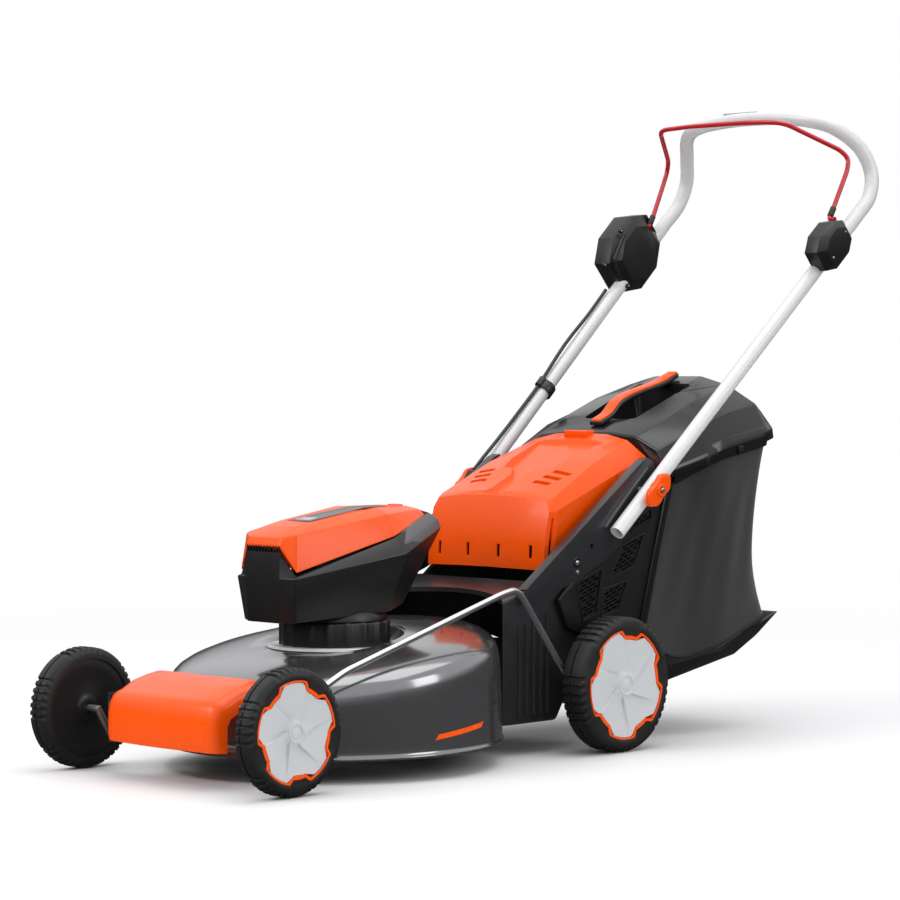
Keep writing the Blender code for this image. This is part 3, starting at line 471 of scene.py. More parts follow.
def rim_disc_mesh(place, radius, width):
    """The black disc that closes the wheel's inner side, with its hub boss."""
    ring = radius * RING - GAP
    profile = [(0.0064, 0.0035), (0.015, 0.0035), (0.0175, 0.005), (0.019, 0.0075), (0.023, 0.0085),
               (ring * 0.6, 0.007), (ring * 0.8, 0.0045), (ring - 0.003, 0.003), (ring, 0.0034),
               (ring, 0.01), (ring - 0.003, 0.012), (0.023, 0.013), (0.018, 0.022), (0.0064, 0.022)]
    rows = []
    for angle in round_angles(96):
        rows.append([wheel_point(place, r, angle, min(w, width - 0.012)) for r, w in profile])
    return ring_loft(rows)


def cap_mesh(place, radius, width, turn, blades_at):
    """The cap: six swept facets that step down at their leading edges, round a ring with a dome in it."""
    disc = radius * RING - 0.0034
    fractions = (0.0, 0.035, 0.1, 0.25, 0.45, 0.65, 0.82, 0.93, 0.985)
    angles = [(math.radians(blades_at + 60 * (blade + part)), part)
              for blade in range(6) for part in fractions]
    middle_rows = [(0.02, -0.0001), (0.06, -0.0003), (0.1, -0.001), (0.13, -0.0024), (0.155, -0.002),
                   (0.165, -0.0007), (0.185, -0.0002), (0.205, -0.0008), (0.215, -0.0024)]
    rows = []
    for share, rise in middle_rows:
        rows.append([wheel_point(place, share * disc, angle + math.asin(0.5), width + rise)
                     for angle, _ in angles])
    for share in (0.24, 0.27, 0.32, 0.4, 0.5, 0.6, 0.7, 0.78, 0.86, 0.93, 0.985, 1.0):
        swirl = math.asin(0.12 / share)
        fade = 0.0
        if share < 0.97:
            fade = min(1.0, (share - 0.23) / 0.05) * max(0.0, 1 - ((share - 0.24) / 0.74) ** 1.3)
        row = []
        for angle, part in angles:
            angle += swirl
            notch = notch_share(angle, turn, 18.4, 11.4)
            edge = disc - (radius * NOTCH + CAP_NOTCH) * notch
            r = share * disc if share < 0.78 else 0.78 * disc + (share - 0.78) / 0.22 * (edge - 0.78 * disc)
            fall = 0.0054 * fade * (1 - part if part > 0.02 else 0.0)
            lip = 0.0006 if share > 0.99 else 0.0
            row.append(wheel_point(place, r, angle, width - 0.0024 - 0.001 * (1 - share) - fall - lip))
        rows.append(row)
    rows.append([(x - place[1] * 0.006, y, z) for x, y, z in rows[-1]])
    return loft(rows)


def wheel(prefix, radius, width, turn, blades_at):
    """One wheel round its CAD place: the tyre, the notched band, the inner disc and the cap."""
    low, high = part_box(prefix + "_tyre")
    side = 1 if low.x > 0 else -1
    axle = ((low.y + high.y) / 2 - SHIFT.y, (low.z + high.z) / 2)
    place = (axle, side, min(abs(low.x), abs(high.x)))
    piece(prefix + "_tread", tyre_mesh(place, radius, width, turn), "tyre_rubber", prefix + "_tyre")
    piece(prefix + "_band", rim_mesh(place, radius, width, turn), "orange_plastic", prefix + "_rim")
    detail(prefix + "_inner_disc", rim_disc_mesh(place, radius, width), "black_plastic", prefix + "_rim")
    cap = cap_mesh(place, radius, width, turn, blades_at)
    piece(prefix + "_cap", cap, "grey_plastic", prefix + "_hub_cap", sharp=24)


# Radius, width, and the angles of the first notch and the first blade of the cap
WHEELS = {"front": (0.09, 0.036, 31, 8), "rear": (0.105, 0.048, 8, -14)}
for end, wheel_sizes in WHEELS.items():
    for _, hand_word in HANDS:
        wheel(f"{end}_{hand_word}", *wheel_sizes)

# The deck and the pieces fixed to it

SPINDLE_Y = middle("rotor_shaft").y - SHIFT.y
# (radius, drop) from the pad to the lip
DECK_SKIN = [(0.1075, 0.0), (0.135, 0.0006), (0.165, 0.0022), (0.192, 0.005), (0.214, 0.0095),
             (0.228, 0.0145),
             (0.2375, 0.0205), (0.2432, 0.027), (0.2466, 0.035), (0.2488, 0.046), (0.2505, 0.065),
             (0.252, 0.095), (0.2528, 0.125), (0.253, 0.143), (0.254, 0.147), (0.2556, 0.1485),
             (0.256, 0.1505), (0.2553, 0.1525), (0.2538, 0.153)]
DECK_WALL = 0.0025
DECK_TOP, DECK_LIP, DECK_TILT, PAD_Z = 0.186, 0.032, 0.155, 0.175


def drum(radius, low, high, sides):
    """A cylinder round the blade's axis."""
    return rod((0, SPINDLE_Y, low), (0, SPINDLE_Y, high), radius, sides)


def turned(r, angle, z):
    """A point at that radius and angle round the blade's axis."""
    return (r * math.cos(angle), SPINDLE_Y + r * math.sin(angle), z)


def deck_row(r, drop, level=None, lift=0.0, steps=160):
    """A ring of the deck: it tilts most at drop 0 and is level at the lip, or at the level given."""
    row = []
    for angle in round_angles(steps):
        share = 1 - drop / (DECK_TOP - DECK_LIP)
        z = DECK_TOP - drop + share * DECK_TILT * (r * math.sin(angle)) if level is None else level
        row.append(turned(r, angle, z + lift))
    return row


def deck():
    pad = [deck_row(0.07, 0, PAD_Z), deck_row(0.0965, 0, PAD_Z), deck_row(0.0995, 0, PAD_Z - 0.0007)]
    fall = zip(deck_row(0.1035, 0, PAD_Z), deck_row(0.1045, 0.0015))
    pad.append([tuple((a + b) / 2 for a, b in zip(p, q)) for p, q in fall])
    outer = pad + [deck_row(r, drop) for r, drop in DECK_SKIN]
    inner = [deck_row(r - DECK_WALL, drop, lift=-DECK_WALL if drop < 0.03 else 0.0)
             for r, drop in reversed(DECK_SKIN[:-5])]
    inner += [deck_row(0.1, 0, PAD_Z - 0.003), deck_row(0.07, 0, PAD_Z - 0.003)]
    skin = ring_loft(outer + inner)
    window = box((-0.135, 0.1, 0.062), (0.135, 0.26, 0.178))
    piece("deck_skin", combined(skin, [window]), "deck_paint", "deck_shell", sharp=60)
    ring = ring_loft([deck_row(r, 0, z) for r, z in ((0.064, 0.1752), (0.064, 0.1792), (0.099, 0.1792),
                                                            (0.1005, 0.178), (0.101, 0.1752))])
    detail("deck_pad", ring, "pad_paint", "deck_shell")
    stripe = []
    for top in (0, 1):
        row = []
        for k in range(25):
            angle = math.radians(-8.5 + 23 * k / 24 + top * 1.5)
            row.append(turned(0.2532, angle, 0.0575 + 0.008 * top + 0.01 * k / 24))
        stripe.append(row)
    flat = loft(stripe, caps=False, around=False)
    flat = evaluated(flat, ("SOLIDIFY", {"thickness": 0.0004, "offset": 0.0}))
    detail("deck_stripe", flat, "orange_plastic", "deck_shell")


def chute():
    side = [(0.1, 0.048), (0.1, 0.2), (0.16, 0.24), (0.27, 0.262), (0.33, 0.262), (0.42, 0.33),
            (0.43, 0.17), (0.33, 0.118), (0.285, 0.048)]
    body = bevelled(slab(side, -0.1535, 0.1535), 0.006, 4)
    inside = [(0.05, 0.064), (0.05, 0.19), (0.16, 0.232), (0.272, 0.256), (0.3, 0.3), (0.5, 0.5),
              (0.5, 0.18), (0.335, 0.126), (0.24, 0.06), (0.15, 0.04)]
    hollow = slab(inside, -0.15, 0.15)
    around = drum(0.2575, 0, 0.4, 96)
    # The chute takes the darker, shaded copy of the deck's paint: painted shade
    piece("chute_body", combined(body, [hollow, around]), "shaded_deck_paint", "rear_chute", sharp=30)
    for hand, word in HANDS:
        ribs = bmesh.new()
        for k in range(5):
            y = 0.262 - 0.016 * k
            path = [(hand * 0.1535, y, 0.062), (hand * 0.1535, y, 0.215 - 0.004 * k)]
            rod(*path, 0.0035, 16, bm=ribs)
        detail("chute_ribs_" + word, ribs, "shaded_deck_paint", "rear_chute")


def front_cover():
    """The hood over the front axle: a flat front, a rounded top edge and ends that turn back."""
    ends = [(0.122, 0.0185, -0.372), (0.1205, 0.01, -0.38), (0.117, 0.005, -0.3868), (0.111, 0.0018, -0.3902),
            (0.102, 0.0004, -0.392), (0.07, 0.0, -0.3945), (0.035, 0.0, -0.3965)]
    stations = [(-x, *rest) for x, *rest in ends] + [(0.0, 0.0, -0.3975)] + ends[::-1]
    rows = []
    for x, drop, front in stations:
        top = 0.128 - drop
        outer = [(front + 0.0035, 0.053), (front + 0.001, 0.054), (front, 0.057), (front - 0.0012, 0.075),
                 (front - 0.0004, 0.096), (front + 0.003, top - 0.014), (front + 0.0072, top - 0.007),
                 (front + 0.0135, top - 0.0024), (front + 0.022, top + 0.0002), (-0.345, top + 0.012),
                 (-0.32, top + 0.0185), (-0.3, top + 0.022)]
        inner = [(-0.3, top + 0.0195), (-0.345, top + 0.0095), (front + 0.023, top - 0.0026),
                 (front + 0.01, top - 0.009), (front + 0.004, 0.09), (front + 0.0035, 0.057)]
        rows.append([(x, y, z) for y, z in outer + inner])
    around = drum(0.258, 0, 0.4, 96)
    skin = combined(loft(rows), [around])
    piece("front_hood", skin, "orange_plastic", "front_cover", sharp=40)


def motor_base():
    rows = []
    for z, back in ((0.1758, 0.004), (0.177, 0.0), (0.212, 0.0), (0.215, 0.0012), (0.2168, 0.005)):
        row = []
        for angle in round_angles(216):
            wave = 0.5 + 0.5 * math.cos(18 * angle)
            r = 0.084 - back - 0.0034 * (1 - (1 - wave) ** 3)
            row.append(turned(r, angle, z))
        rows.append(row)
    bore = drum(0.0625, 0.17, 0.25, 64)
    piece("motor_base_ring", combined(loft(rows), [bore]), "black_plastic", "motor_base", sharp=50)


# The motor housing and its lid

# The side points of each level, from the front to the rear
HOUSING_BOTTOM = [(0.036, -0.187, 0.219), (0.056, -0.176, 0.2205), (0.08, -0.01, 0.229),
                  (0.045, 0.055, 0.236)]
HOUSING_BELT = [(0.036, -0.192, 0.285), (0.064, -0.184, 0.286), (0.1, 0.011, 0.317), (0.062, 0.122, 0.351)]
HOUSING_RIM = [(0.036, -0.19, 0.325), (0.06, -0.18, 0.287), (0.084, 0.0, 0.34), (0.052, 0.098, 0.368)]
LID_EDGE = [(0.036, -0.19, 0.3338), (0.06, -0.18, 0.2938), (0.084, 0.0, 0.3418), (0.052, 0.098, 0.3698)]
LID_CREASE = [(0.034, -0.186, 0.345), (0.054, -0.174, 0.35), (0.07, 0.0, 0.375), (0.044, 0.092, 0.379)]
LID_TOP = [(0.026, -0.15, 0.361), (0.036, -0.12, 0.367), (0.044, 0.0, 0.384), (0.03, 0.078, 0.384)]


def pulled_in(points, by, up=0.0):
    """The points moved inwards, as on the inner side of a wall."""
    return [(x - by, y + (by if y < -0.05 else -by), z + up) for x, y, z in points]


def housing():
    shell = loft([both_sides(r) for r in (HOUSING_BOTTOM, HOUSING_BELT, HOUSING_RIM)])
    shell = bevelled(shell, 0.0016, 3, 12)
    rim = pulled_in(HOUSING_RIM, 0.003)
    above = [(x, y, z + 0.03) for x, y, z in rim]
    rings = (pulled_in(HOUSING_BOTTOM, 0.003, 0.003), pulled_in(HOUSING_BELT, 0.004), rim, above)
    hollow = loft([both_sides(r) for r in rings])
    bore = drum(0.063, 0.2, 0.26, 64)
    piece("housing_shell", combined(shell, [hollow, bore]), "black_plastic", "motor_housing", sharp=22)
    chin = []
    for r, z in ((0.064, 0.2172), (0.08, 0.2172), (0.079, 0.224), (0.075, 0.23), (0.064, 0.23)):
        chin.append(deck_row(r, 0, z, steps=96))
    detail("housing_chin", ring_loft(chin), "black_plastic", "motor_housing")
    comb = bmesh.new()
    for k in range(12):
        x = -0.0345 + 0.069 * k / 11
        box((x - 0.0012, -0.1905, 0.3245), (x + 0.0012, -0.1865, 0.3335), comb)
    box((-0.035, -0.1862, 0.32), (0.035, -0.185, 0.342), comb)
    detail("housing_comb", bevelled(comb, 0.0003, 1), "black_plastic", "motor_housing")
    top = [(0.0755, 0.012, 0.345), (0.0905, 0.01, 0.329), (0.0985, 0.012, 0.317), (0.086, 0.015, 0.33)]
    rear = [(0.0545, 0.1, 0.3745), (0.064, 0.112, 0.365), (0.064, 0.12, 0.35), (0.055, 0.104, 0.36)]
    for hand, word in HANDS:
        rows = [on_side(hand, ring) for ring in (top, rear)]
        rows.append([(hand * 0.02, y + 0.008, z + 0.004) for _, y, z in rear])
        arm = bevelled(loft(rows), 0.0015, 3, 20)
        detail("housing_bar_" + word, arm, "bar_grey", "motor_housing")


BADGE = [(0.024, -0.118, 0.3668), (0.022, -0.06, 0.375), (0.019, 0.0, 0.3832), (0.016, 0.05, 0.384)]


def badge_block(low, high, grow=0.0, ends=0.0, points=BADGE):
    """A strip along the lid's top, from low to high above it, wider by grow and longer by ends."""
    rows = []
    for k, (x, y, z) in enumerate(points):
        x += grow
        y += (-ends if k == 0 else ends if k == len(points) - 1 else 0)
        rows.append([(x, y, z + low), (x, y, z + high), (-x, y, z + high), (-x, y, z + low)])
    return loft(rows)


def battery_lid():
    shell = loft([both_sides(r) for r in (LID_EDGE, LID_CREASE, LID_TOP)])
    shell = bevelled(shell, 0.0022, 4, 10, "MITER_SHARP")
    under = [(x, y, z - 0.02) for x, y, z in pulled_in(LID_EDGE, 0.003)]
    rings = (under, pulled_in(LID_CREASE, 0.003, -0.003), pulled_in(LID_TOP, 0.003, -0.003))
    hollow = loft([both_sides(r) for r in rings])
    seat = badge_block(-0.0014, 0.02, 0.0006, 0.0006)
    vents = []
    for hand in (1, -1):
        row = bmesh.new()
        for k in range(7):
            y = 0.031 + 0.0052 * k
            low, high = sorted((hand * 0.0195, hand * 0.0285))
            box((low, y, 0.3828), (high, y + 0.0024, 0.4), row)
        vents.append(row)
    piece("lid_shell", combined(shell, [hollow, seat, *vents]), "orange_plastic", "battery_lid", sharp=20)
    latch = bevelled(box((-0.011, 0.0765, 0.3725), (0.011, 0.09, 0.3855)), 0.0014, 3)
    detail("lid_latch", latch, "orange_plastic", "battery_lid")
    plate = bevelled(badge_block(-0.0009, 0.0006), 0.0004, 2)
    piece("badge_plate", plate, "badge_grey", "lid_badge")
    front = [(0.0165, -0.112, 0.3679), (0.015, -0.092, 0.3707)]
    raised = bevelled(badge_block(0.0001, 0.0008, points=front), 0.0003, 2)
    detail("badge_tab", raised, "badge_light", "lid_badge")


# The handle brackets and the collector's side panels

def bracket(side, word):
    node = "handle_bracket_" + word
    outline = [(0.1965, 0.2365), (0.195, 0.248), (0.1975, 0.257), (0.217, 0.2715), (0.469, 0.447),
               (0.482, 0.451), (0.493, 0.446), (0.4975, 0.436), (0.496, 0.421), (0.47, 0.38),
               (0.442, 0.343), (0.412, 0.315), (0.376, 0.292), (0.32, 0.269), (0.26, 0.248), (0.225, 0.237)]
    plate = slab(outline, side * 0.168, side * 0.1712)
    top = [(0.1955, 0.256), (0.217, 0.2718), (0.469, 0.4474), (0.482, 0.4514), (0.4825, 0.448),
           (0.4705, 0.444), (0.219, 0.2684), (0.1985, 0.2535)]
    flange = slab(top, side * 0.154, side * 0.1705)
    body = bevelled(combined(plate, [flange], "UNION"), 0.0013, 4)
    holes = [box((side * 0.1755 - 0.015, 0.3435, 0.3125), (side * 0.1755 + 0.015, 0.35, 0.3205))]
    body = combined(body, holes)
    # The bracket takes the darker, shaded copy of the deck's paint: painted shade
    piece("bracket_plate_" + word, body, "shaded_deck_paint", node)
    ridge = tube(rounded_path([(side * 0.17, 0.378, 0.344), (side * 0.1705, 0.4, 0.366),
                                    (side * 0.1705, 0.478, 0.435)], 0.01), 0.0034, 8)
    detail("bracket_ridge_" + word, ridge, "shaded_deck_paint", node)
    cup = rod((side * 0.1708, 0.3116, 0.2919), (side * 0.172, 0.3116, 0.2919), 0.0085, 32, 0.0078)
    detail("bracket_seat_" + word, bevelled(cup, 0.0004, 2), "black_gloss", node)
    heads = rod((side * 0.1712, 0.3116, 0.2919), (side * 0.1742, 0.3116, 0.2919), 0.0046, 24, 0.0032)
    rod((side * 0.1705, 0.3117, 0.2769), (side * 0.1732, 0.3117, 0.2769), 0.004, 6, bm=heads)
    detail("bracket_screws_" + word, bevelled(heads, 0.0007, 3), "zinc_steel", node)


# The four windows of a side panel, as (y, z) corners
WINDOWS = [
    [(0.4503, 0.3496), (0.495, 0.3699), (0.496, 0.3552), (0.4503, 0.335)],
    [(0.4245, 0.3118), (0.4764, 0.3292), (0.4542, 0.2814), (0.3989, 0.2646)],
    [(0.383, 0.2463), (0.4357, 0.2556), (0.4174, 0.2129), (0.3772, 0.205)],
    [(0.3195, 0.259), (0.376, 0.278), (0.364, 0.211), (0.3339, 0.2009)],
]


def inside_outline(point, outline):
    """Whether a (y, z) point is inside a convex outline."""
    signs = set()
    for (y0, z0), (y1, z1) in zip(outline, outline[1:] + outline[:1]):
        signs.add((y1 - y0) * (point[1] - z0) - (z1 - z0) * (point[0] - y0) > 0)
    return len(signs) == 1


def brick_slots(window, x0, x1):
    """Short slanted slots in rows, each row set off by half a slot from the one below."""
    slots = bmesh.new()
    low = min(z for _, z in window)
    left = min(y for y, _ in window)
    for row in range(16):
        for column in range(8):
            y = left + 0.0135 * column + 0.0068 * (row % 2)
            z = low - 0.012 + 0.0058 * row + 0.33 * (y - left)
            slot = [(y, z), (y + 0.0105, z + 0.0035), (y + 0.0105, z + 0.0068), (y, z + 0.0033)]
            if all(inside_outline(corner, window) for corner in slot):
                slab(slot, x0, x1, slots)
    return slots


def grille(side, word):
    node = "collector_grille_" + word
    outline = [(0.3, 0.19), (0.277, 0.236), (0.369, 0.306), (0.44, 0.34), (0.496, 0.404),
               (0.53, 0.398), (0.465, 0.149), (0.4, 0.165)]
    body = bevelled(slab(outline, side * 0.157, side * 0.164), 0.0012, 3)
    pockets = bmesh.new()
    for window in WINDOWS:
        slab(window, side * 0.1622, side * 0.17, pockets)
    cutters = [pockets] + [brick_slots(window, side * 0.15, side * 0.17) for window in WINDOWS]
    piece("grille_panel_" + word, combined(body, cutters), "black_plastic", node)
    for number, window in enumerate(WINDOWS, 1):
        middle_y = sum(y for y, _ in window) / 4
        middle_z = sum(z for _, z in window) / 4
        rim = []
        for grow, x in ((1.0, 0.1636), (1.0, 0.1652), (1.1, 0.1652), (1.12, 0.1636)):
            rim.append([(side * x, middle_y + (y - middle_y) * grow, middle_z + (z - middle_z) * grow)
                        for y, z in window])
        detail(f"grille_rim_{word}_{number}", bevelled(ring_loft(rim), 0.0004, 2), "black_plastic",
              node)
    strip = [(0.529, 0.405), (0.543, 0.403), (0.476, 0.174), (0.463, 0.178)]
    edge = bevelled(slab(strip, side * 0.16, side * 0.169), 0.002, 3)
    detail("grille_post_" + word, edge, "black_gloss", node)


# The rear flap

FLAP_RINGS = [
    [(0.0, 0.277, 0.281), (0.07, 0.2795, 0.28), (0.126, 0.283, 0.279), (0.134, 0.3, 0.282),
     (0.137, 0.4, 0.352), (0.134, 0.52, 0.44)],
    [(0.0, 0.2785, 0.328), (0.07, 0.281, 0.3275), (0.1262, 0.2868, 0.326), (0.1335, 0.304, 0.327),
     (0.1362, 0.405, 0.383), (0.1325, 0.5215, 0.446)],
    [(0.0, 0.289, 0.374), (0.07, 0.2915, 0.373), (0.126, 0.296, 0.37), (0.132, 0.31, 0.372),
     (0.134, 0.41, 0.412), (0.13, 0.523, 0.452)],
    [(0.0, 0.296, 0.393), (0.062, 0.297, 0.392), (0.118, 0.3, 0.386), (0.122, 0.312, 0.392),
     (0.112, 0.41, 0.44), (0.1, 0.512, 0.478)],
    [(0.0, 0.306, 0.4005), (0.032, 0.305, 0.4), (0.06, 0.306, 0.398), (0.062, 0.316, 0.402),
     (0.06, 0.41, 0.448), (0.055, 0.514, 0.487)],
    [(0.0, 0.308, 0.401), (0.001, 0.308, 0.401), (0.0015, 0.309, 0.4012), (0.0015, 0.318, 0.4035),
     (0.0015, 0.41, 0.4495), (0.0015, 0.515, 0.4885)],
]


def flap_top(y):
    """The height of the flap's upper face at y."""
    return 0.402 + (y - 0.316) * 0.489 if y < 0.41 else 0.448 + (y - 0.41) * 0.375


def flap():
    skin = bevelled(loft([both_sides(r) for r in FLAP_RINGS]), 0.003, 4, 14)
    back = (0.0025, 0.0025, 0.0025, 0.0025, 0.004, 0.004)
    drop = (0.0025, 0.0025, 0.0025, 0.008, 0.011, 0.011)
    inner = [[(x - 0.0025 if x > 0.01 else x, y + b, z - d) for x, y, z in ring]
             for ring, b, d in zip(FLAP_RINGS, back, drop)]
    low = [(x, y, z - 0.03) for x, y, z in inner[0]]
    hollow = loft([both_sides(r) for r in (low, *inner)])
    panel = [(0.073, 0.488), (0.052, 0.383), (0.03, 0.379), (0.015, 0.36), (0.019, 0.3)]
    rows = []
    for grow, lift in ((-0.005, -0.0065), (0.0, 0.0003), (0.006, 0.01)):
        half = [(x + grow, y + (grow if k == 0 else 0.0)) for k, (x, y) in enumerate(panel)]
        outline = half + [(-x, y) for x, y in reversed(half)]
        rows.append([(x, y, flap_top(y) + lift) for x, y in outline])
    recess = loft(rows)
    louvres = bmesh.new()
    for number in range(3):
        y = 0.337 + 0.017 * number
        inner_x, outer_x = 0.05 + 0.0065 * number, 0.085 + 0.0065 * number
        for hand in (1, -1):
            z = flap_top(y)
            rows = []
            for lift in (-0.022, 0.01):
                rows.append(on_side(hand, [(inner_x, y, z + lift), (outer_x, y, z + lift),
                                           (outer_x + 0.003, y + 0.0085, z + lift + 0.0035),
                                           (inner_x + 0.003, y + 0.0085, z + lift + 0.0035)]))
            loft(rows, bm=louvres)
    slots = bmesh.new()
    for x in (-0.0985, -0.033, 0.033, 0.0985):
        box((x - 0.003, 0.26, 0.2975), (x + 0.003, 0.298, 0.3175), slots)
    corner = bmesh.new()
    corner_line = [(0.2885, 0.276), (0.2945, 0.276), (0.2985, 0.33), (0.303, 0.36), (0.299, 0.36),
                   (0.2935, 0.33)]
    for hand in (1, -1):
        rows = []
        for x in (0.1265, 0.145):
            rows.append([(hand * x, y, z) for y, z in corner_line])
        loft(rows, bm=corner)
    cutters = [louvres, slots, corner]
    piece("flap_skin", combined(skin, [hollow, recess, *cutters]), "orange_plastic", "rear_flap", sharp=24)
    tab = bevelled(box((-0.024, 0.496, 0.48), (0.024, 0.519, 0.493)), 0.0022, 3)
    detail("flap_tab", tab, "orange_plastic", "rear_flap")
    for hand, word in HANDS:
        wire = tube([(hand * 0.129, 0.2965, 0.283), (hand * 0.129, 0.2975, 0.315)], 0.0018, 8)
        detail("flap_wire_" + word, wire, "zinc_steel", "rear_flap")


# The grass collector

SEAM = 0.0022
BAG_LOW = [(0.168, 0.47, 0.153), (0.17, 0.56, 0.125), (0.19, 0.64, 0.144), (0.189, 0.768, 0.19)]
BAG_MIDDLE = [(0.168, 0.51, 0.29), (0.17, 0.575, 0.285), (0.188, 0.64, 0.3), (0.187, 0.752, 0.33)]
BAG_HIGH = [(0.168, 0.545, 0.41), (0.17, 0.59, 0.425), (0.19, 0.64, 0.449), (0.188, 0.772, 0.472)]


def along_path(path, count):
    """Points at equal steps along a path."""
    path = [Vector(p) for p in path]
    lengths = [0.0]
    for a, b in zip(path, path[1:]):
        lengths.append(lengths[-1] + (b - a).length)
    made = []
    spot = 0
    for k in range(count):
        wanted = lengths[-1] * k / (count - 1)
        while spot < len(path) - 2 and lengths[spot + 1] < wanted:
            spot += 1
        share = (wanted - lengths[spot]) / max(1e-9, lengths[spot + 1] - lengths[spot])
        made.append(path[spot].lerp(path[spot + 1], min(1.0, share)))
    return made


def bag_row(share, count=150):
    """One level of the bag, from its low edge at 0 to its high one at 1, round both sides and the back."""
    halves = (BAG_LOW, BAG_MIDDLE, BAG_HIGH)
    rows = [along_path(rounded_path(both_sides(half), 0.03, 8), count) for half in halves]
    row = []
    for k, (low, mid, high) in enumerate(zip(*rows)):
        point = low * (1 - share) * (1 - 2 * share) + mid * 4 * share * (1 - share)
        point += high * share * (2 * share - 1)
        along = k / (count - 1)
        slack = math.sin(math.pi * share)
        inward = Vector((-point.x, 0.62 - point.y, 0)).normalized()
        folds = 0.0012 * math.sin(along * 46.0 + 3.0 * share) + 0.0008 * math.sin(along * 97.0 - 5.0 * share)
        row.append(point + inward * slack * (0.0045 + folds))
    return row


def bag():
    levels = 60
    cloth = loft([bag_row(k / levels) for k in range(levels + 1)], caps=False, around=False)
    cloth = evaluated(cloth, ("SOLIDIFY", {"thickness": 0.0012, "offset": -1}))
    sheet = piece("bag_cloth", cloth, "mesh_fabric", "collector_bag", sharp=60)
    for name, share in (("low", 0.0), ("high", 1.0)):
        detail("bag_hem_" + name, tube(bag_row(share), SEAM, 6), "hem_tape", "collector_bag")
    for name, end_of_row in (("left", 0), ("right", -1)):
        edge = [bag_row(k / levels)[end_of_row] for k in range(levels + 1)]
        detail("bag_edge_" + name, tube(edge, SEAM, 6), "hem_tape", "collector_bag")


def swept_band(path, section, inward_from=0.62):
    """A closed section of (outward, up) points carried along a path round the collector."""
    rows = []
    for k, point in enumerate(path):
        before, after = path[max(0, k - 1)], path[min(len(path) - 1, k + 1)]
        along = (after - before).normalized()
        out = along.cross(Vector((0, 0, 1))).normalized()
        if out.dot(Vector((point.x, point.y - inward_from, 0))) < 0:
            out = -out
        rows.append([point + out * o + Vector((0, 0, u)) for o, u in section])
    return loft(rows)


def collector_rim():
    path = rounded_path([p + Vector((0, 0, 0.002)) for p in map(Vector, both_sides(BAG_HIGH))], 0.028, 8)
    band = swept_band(path, [(0.0, -0.006), (0.0035, -0.005), (0.0056, 0.01), (0.0054, 0.012), (0.002, 0.027),
                             (0.0, 0.028)])
    detail("collector_rim_band", bevelled(band, 0.0007, 2, 15), "black_gloss", "collector_lid", sharp=20)
    for hand, word in HANDS:
        for number, (y, z) in enumerate(((0.608, 0.456), (0.684, 0.472))):
            low = (hand * (0.195 if number else 0.188) - 0.002, y - 0.006, z - 0.018)
            high = (hand * (0.195 if number else 0.188) + 0.003, y + 0.006, z - 0.004)
            clip = bevelled(box(low, high), 0.0008, 2)
            detail(f"collector_clip_{word}_{number + 1}", clip, "black_plastic", "collector_lid")


LID_SECTIONS = [
    (0.5275, [(0.172, 0.415), (0.172, 0.43), (0.15, 0.464), (0.105, 0.484), (0.05, 0.489)]),
    (0.61, [(0.192, 0.441), (0.19, 0.456), (0.166, 0.498), (0.112, 0.518), (0.05, 0.524)]),
    (0.68, [(0.194, 0.462), (0.192, 0.476), (0.168, 0.518), (0.112, 0.545), (0.05, 0.553)]),
    (0.76, [(0.194, 0.474), (0.192, 0.492), (0.166, 0.536), (0.108, 0.567), (0.05, 0.582)]),
    (0.785, [(0.186, 0.478), (0.183, 0.496), (0.156, 0.524), (0.1, 0.55), (0.046, 0.562)]),
]


def lid_section(y, half, shrink=0.0, floor=0.0):
    """One cross-section of the lid, smaller by shrink, with its feet lowered by floor."""
    right = [(x - shrink, y, z - (shrink if k > 1 else 0)) for k, (x, z) in enumerate(half)]
    right[0] = (right[0][0], y, right[0][2] - floor)
    return right + [(-x, py, z) for x, py, z in reversed(right)]


def collector_lid():
    skin = bevelled(loft([lid_section(y, half) for y, half in LID_SECTIONS]), 0.0035, 4, 7)
    ys = (0.5305, 0.61, 0.68, 0.759, 0.782)
    hollow = loft([lid_section(y, half, 0.003, 0.03) for y, (_, half) in zip(ys, LID_SECTIONS)])
    pan = [(0.571, 0.462), (0.571, 0.5052), (0.61, 0.5216), (0.68, 0.5505), (0.728, 0.568), (0.728, 0.462)]
    pan = slab(pan, -0.068, 0.068)
    well = []
    for grow, z in ((-0.008, 0.465), (0.0, 0.5), (0.006, 0.56), (0.012, 0.62)):
        well.append([(-0.055 - grow, 0.58 - grow * 0.4, z), (0.055 + grow, 0.58 - grow * 0.4, z),
                     (0.055 + grow, 0.719 + grow * 0.5, z), (-0.055 - grow, 0.719 + grow * 0.5, z)])
    well = bevelled(loft(well), 0.01, 5, 60)
    body = combined(combined(combined(skin, [hollow]), [pan], "UNION"), [well])
    piece("lid_hood", body, "black_gloss", "collector_lid", sharp=20)


def collector_handle():
    top = [(0.548, 0.5), (0.575, 0.512), (0.6, 0.533), (0.64, 0.547), (0.7, 0.562), (0.728, 0.572),
           (0.745, 0.579)]
    line = curve_points([(0, y, z) for y, z in top], 5)
    for name, half_width, low, high, colour in (("arch_core", 0.016, 0.0, 0.0075, "black_plastic"),
                                                ("arch_grip", 0.0118, 0.006, 0.0105, "orange_plastic")):
        rows = []
        for k, point in enumerate(line):
            share = k / (len(line) - 1)
            wide = half_width * (0.86 + 0.14 * math.sin(math.pi * share))
            corners = ((-wide, 0, low), (wide, 0, low), (wide, 0, high), (-wide, 0, high))
            rows.append([point + Vector(p) for p in corners])
        piece(name, bevelled(loft(rows), 0.0018, 3), colour, "collector_handle")


# The handle

FOLD_AXIS = (0.459, 0.402)
KNOB_TURN = 0.75
HANDLE_LOW, HANDLE_HIGH = Vector((0.186, 0.388, 0.336)), Vector((0.2125, 0.975, 0.853))


